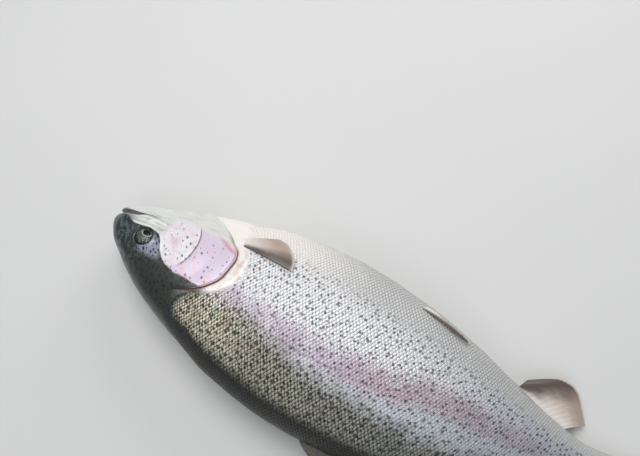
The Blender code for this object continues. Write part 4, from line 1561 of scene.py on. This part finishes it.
def skin_material():
    """Skin of the whole fish: its bare head and shoulder, and the trunk as it shows between scales."""
    tree = Tree("skin")
    place, tones = tree.markings()
    head_map = parts(tree.read("head_map"))
    along, height, _ = head_map
    behind_cheek, behind_gill, under_scales = parts(tree.read("plates"))
    grains = noise(place, 1.3, 3)
    tone = head_colour(place, tones, head_map, behind_cheek, grains)
    tone = paint(tone, HEAD_SPOT, head_spots(place, tones[0], along, height, behind_gill))
    bare = ramp(behind_gill, -0.05, 0.25) * ramp(tones[2], 0.24, 0.31)
    tone = paint(tone, bare_shoulder(place, tones, under_scales, grains), bare)
    tone = gill_marks(tone, along, height, behind_gill, grains)
    lining = paint(MOUTH_LINING, GILL_DARK, ramp(along, 54, 60))
    tone = paint(tone, lining, tree.read("slit", "Fac"))
    body = body_colour(place, tones, tree.constant(0.0), tree.constant(0.4))
    body = paint(body, BLACK_SPOT, spot_mask(place, tones))
    tone = paint(tone, body, ramp(under_scales, 0.7, 1.0))
    bumps = noise(place, 1.1, 3, 0.6) + noise(place, 7, 3) * 1.2
    return tree.finish(
        Base_Color=tone,
        Metallic=0.05,
        Roughness=ramp(grains, 0.2, 0.8, 0.28, 0.48),
        Normal=bump(bumps, 0.00012, 0.55),
        Subsurface_Weight=0.08,
        Subsurface_Radius=(0.004, 0.002, 0.0015),
        **WET,
    )


FIN_DARK_ROOT = colour(88, 90, 86)
FIN_DARK = colour(80, 79, 65)
FIN_DARK_SKIN = colour(60, 60, 53)
FIN_PALE_ROOT = colour(236, 228, 220)
# Painted shade for the folded leading edge of the pale fins.
FIN_LEADING_SHADE = colour(92, 80, 72)
FIN_PALE = colour(178, 160, 146)
FIN_TIP = colour(196, 188, 178)
RAY_SHADE = colour(70, 62, 56)


def fin_material(name, root, leading, trailing, margin, contrast, largest_spot):
    """Rays and the thinner skin between them, in shades from root to margin and from first ray to last, the
    first ray's side darkened by painted shade.
    """
    tree = Tree(name)
    across, reach, ray = parts(tree.read("fin_map"))
    length = tree.read("fin_size", "Fac")
    place = joined(across * length, reach * length)
    clouds, fine = noise(place, 12, 3), noise(place, 0.9, 3, 0.6)
    tone = paint(root, trailing, ramp(reach + 0.3 * clouds, 0.15, 1.0))
    # Darker towards the first ray: on the pale fins this is painted shade of the folded leading edge.
    tone = paint(tone, leading, ramp(across + 0.3 * clouds - 0.30 * reach, 0.62, 0.16))
    tone = paint(tone, margin, ramp(reach + 0.04 * fine, 0.955, 1.01))
    tone = paint(tone, root, ramp(reach - 0.16 * across, 0.13, 0.0))
    tone = paint(tone, RAY_SHADE, ramp(ray + 0.5 * fine, 1.05, 0.35) * contrast)
    if largest_spot:
        spots = scattered(shifted(place, 2.5, 2.0), 5.6, 0.06, largest_spot)
        tone = paint(tone, BLACK_SPOT, spots * 0.85)
    joints = (reach * 190).math("SINE")
    return tree.finish(
        Base_Color=tone,
        Roughness=ramp(fine, 0.2, 0.8, 0.32, 0.52),
        Normal=bump(fine * 0.6 + joints * ray * 0.25, 0.00010, 0.6),
        Subsurface_Weight=0.15,
        Subsurface_Radius=(0.003, 0.002, 0.0015),
        **WET,
    )


PUPIL = colour(12, 13, 14)
IRIS_DARK = colour(30, 36, 36)
IRIS_GOLD = colour(88, 96, 88)
IRIS_RING = colour(172, 178, 170)
IRIS_EDGE = colour(26, 29, 29)


def eye_material():
    """Pupil, the pale ring round it and an iris of dark and gold-green flecks."""
    tree = Tree("eye")
    place = tree.read("eye_map")
    across, up, _ = parts(place)
    before_pupil, above_pupil = across - PUPIL_OFFSET[0] / MM, up - PUPIL_OFFSET[1] / MM
    from_pupil = distance_of(before_pupil * (MM / PUPIL_LENGTH), above_pupil * (MM / PUPIL_HEIGHT))
    from_middle = distance_of(across, up)
    fibres = noise(place, 0.8)
    blobs = ramp(noise(place, 3.6), 0.54, 0.44) * ramp(from_middle, 2.4, 4.6)
    tone = paint(IRIS_GOLD, IRIS_DARK, blobs)
    tone = paint(tone, IRIS_RING, ramp(fibres, 0.45, 0.80, 0.0, 0.25))
    ring = band(from_pupil, 1.22, 0.08, 0.20) * ramp(above_pupil, -1.6, 0.8, 0.05, 0.9)
    tone = paint(tone, IRIS_RING, ring)
    tone = paint(tone, PUPIL, ramp(from_pupil, 1.07, 0.97))
    rim = EYE_RADIUS / MM
    tone = paint(tone, IRIS_EDGE, ramp(from_middle, rim - 1.3, rim - 0.3))
    return tree.finish(
        Base_Color=tone,
        Metallic=0.1,
        Roughness=ramp(fibres, 0.2, 0.8, 0.30, 0.50),
        Specular_IOR_Level=0.15,
        Normal=bump(fibres, 0.00006, 0.5),
    )


def cornea_material():
    """Clear skin over the eye: mostly see-through, with the gloss of a wet surface."""
    tree = Tree("cornea")
    share = tree.start("Fresnel", IOR=1.24)
    clear = tree.start("BsdfTransparent")
    gloss = tree.start("BsdfGlossy", Roughness=0.05)
    both = add_node(share, "MixShader", {0: share, 1: clear, 2: gloss})
    feed(tree.nodes["Material Output"].inputs["Surface"], both)
    tree.nodes.remove(tree.shader)
    return tree.material


def floor_material():
    tree = Tree("floor")
    cloud = noise(tree.start("TexCoord", "Object"), 0.4, 3)
    tone = paint(colour(214, 214, 212), colour(224, 224, 222), cloud)
    return tree.finish(Base_Color=tone, Roughness=ramp(cloud, 0.3, 0.7, 0.6, 0.75))


# ---- The scene ---------------------------------------------------------------------------------

FLESH = ("head", "lower_jaw", "maxilla_right", "maxilla_left", "gill_cover_right", "gill_cover_left",
         "trunk", "tail")
FLOOR_SIZE = 6.0

CAMERA_AZIMUTH = math.radians(31.0)
CAMERA_ELEVATION = math.radians(72.0)
CAMERA_DISTANCE = 0.51
CAMERA_TARGET = (-0.1249, 0.0819, 0.0300)
FOCAL_LENGTH = 34.03

# Name, place, size across, power and tint of each soft light. All of them face the middle of the floor.
LIGHTS = (
    ("key_light", (-0.50, 0.35, 1.45), 1.1, 14.0, (1.0, 1.0, 1.0)),
    ("belly_light", (-0.10, 1.45, 0.75), 1.0, 7.5, (1.0, 1.0, 1.0)),
    ("fill_light", (0.20, -0.95, 1.25), 1.2, 4.5, (0.96, 0.98, 1.0)),
)
SKY_TINT = (0.92, 0.95, 1.0, 1.0)
SKY_STRENGTH = 0.24


def make_floor():
    half = FLOOR_SIZE / 2
    corners = np.array([(-half, -half, 0), (half, -half, 0), (half, half, 0), (-half, half, 0)], dtype=float)
    new_mesh("floor", corners, np.array([(0, 1, 2, 3)]), floor_material())


def make_light(name, place, size, power, tint):
    lamp = bpy.data.lights.new(name, "AREA")
    lamp.shape = "DISK"
    lamp.size = size
    lamp.energy = power
    lamp.color = tint
    made = bpy.data.objects.new(name, lamp)
    made.location = place
    made.rotation_euler = (-Vector(place)).to_track_quat("-Z", "Y").to_euler()
    bpy.context.collection.objects.link(made)


def make_lights():
    for light in LIGHTS:
        make_light(*light)
    world = bpy.data.worlds.new("studio")
    world.use_nodes = True
    background = world.node_tree.nodes["Background"]
    background.inputs["Color"].default_value = SKY_TINT
    background.inputs["Strength"].default_value = SKY_STRENGTH
    bpy.context.scene.world = world
    bpy.context.scene.view_settings.view_transform = "Standard"


def make_camera():
    lens = bpy.data.cameras.new("camera")
    lens.lens = FOCAL_LENGTH
    lens.clip_start = 0.01
    camera = bpy.data.objects.new("camera", lens)
    level = math.cos(CAMERA_ELEVATION)
    across, away = math.sin(CAMERA_AZIMUTH) * level, -math.cos(CAMERA_AZIMUTH) * level
    back = Vector((across, away, math.sin(CAMERA_ELEVATION)))
    camera.location = Vector(CAMERA_TARGET) + back * CAMERA_DISTANCE
    camera.rotation_euler = (math.pi / 2 - CAMERA_ELEVATION, 0, CAMERA_AZIMUTH)
    bpy.context.collection.objects.link(camera)
    bpy.context.scene.camera = camera


def attach(piece, slot, *nodes):
    """Makes a piece part of the fish and hides the imported nodes that it replaces. The slot is not used."""
    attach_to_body(piece, "root")
    if nodes:
        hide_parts(*nodes)


def main():
    surfaces = {
        "eye": eye_material(),
        "cornea": cornea_material(),
        "fin_dark": fin_material("fin_dark", FIN_DARK_ROOT, FIN_DARK, FIN_DARK, FIN_DARK_SKIN, 0.32, 0.27),
        "fin_pale": fin_material("fin_pale", FIN_PALE_ROOT, FIN_LEADING_SHADE, FIN_PALE, FIN_TIP, 0.10, 0.0),
    }
    make_camera()
    attach(make_skin(), "flank_skin", *FLESH)
    for piece in make_coat(coat_material()):
        attach(piece, "flank_skin")
    for side, word in ((1, "right"), (-1, "left")):
        ball, cornea = make_eye(side, word, surfaces)
        attach(ball, "eye_surface", "eye_" + word)
        attach(cornea, "eye_surface")
    for fin, node, slot in make_fins(surfaces):
        attach(fin, slot, node)
    make_floor()
    make_lights()


main()
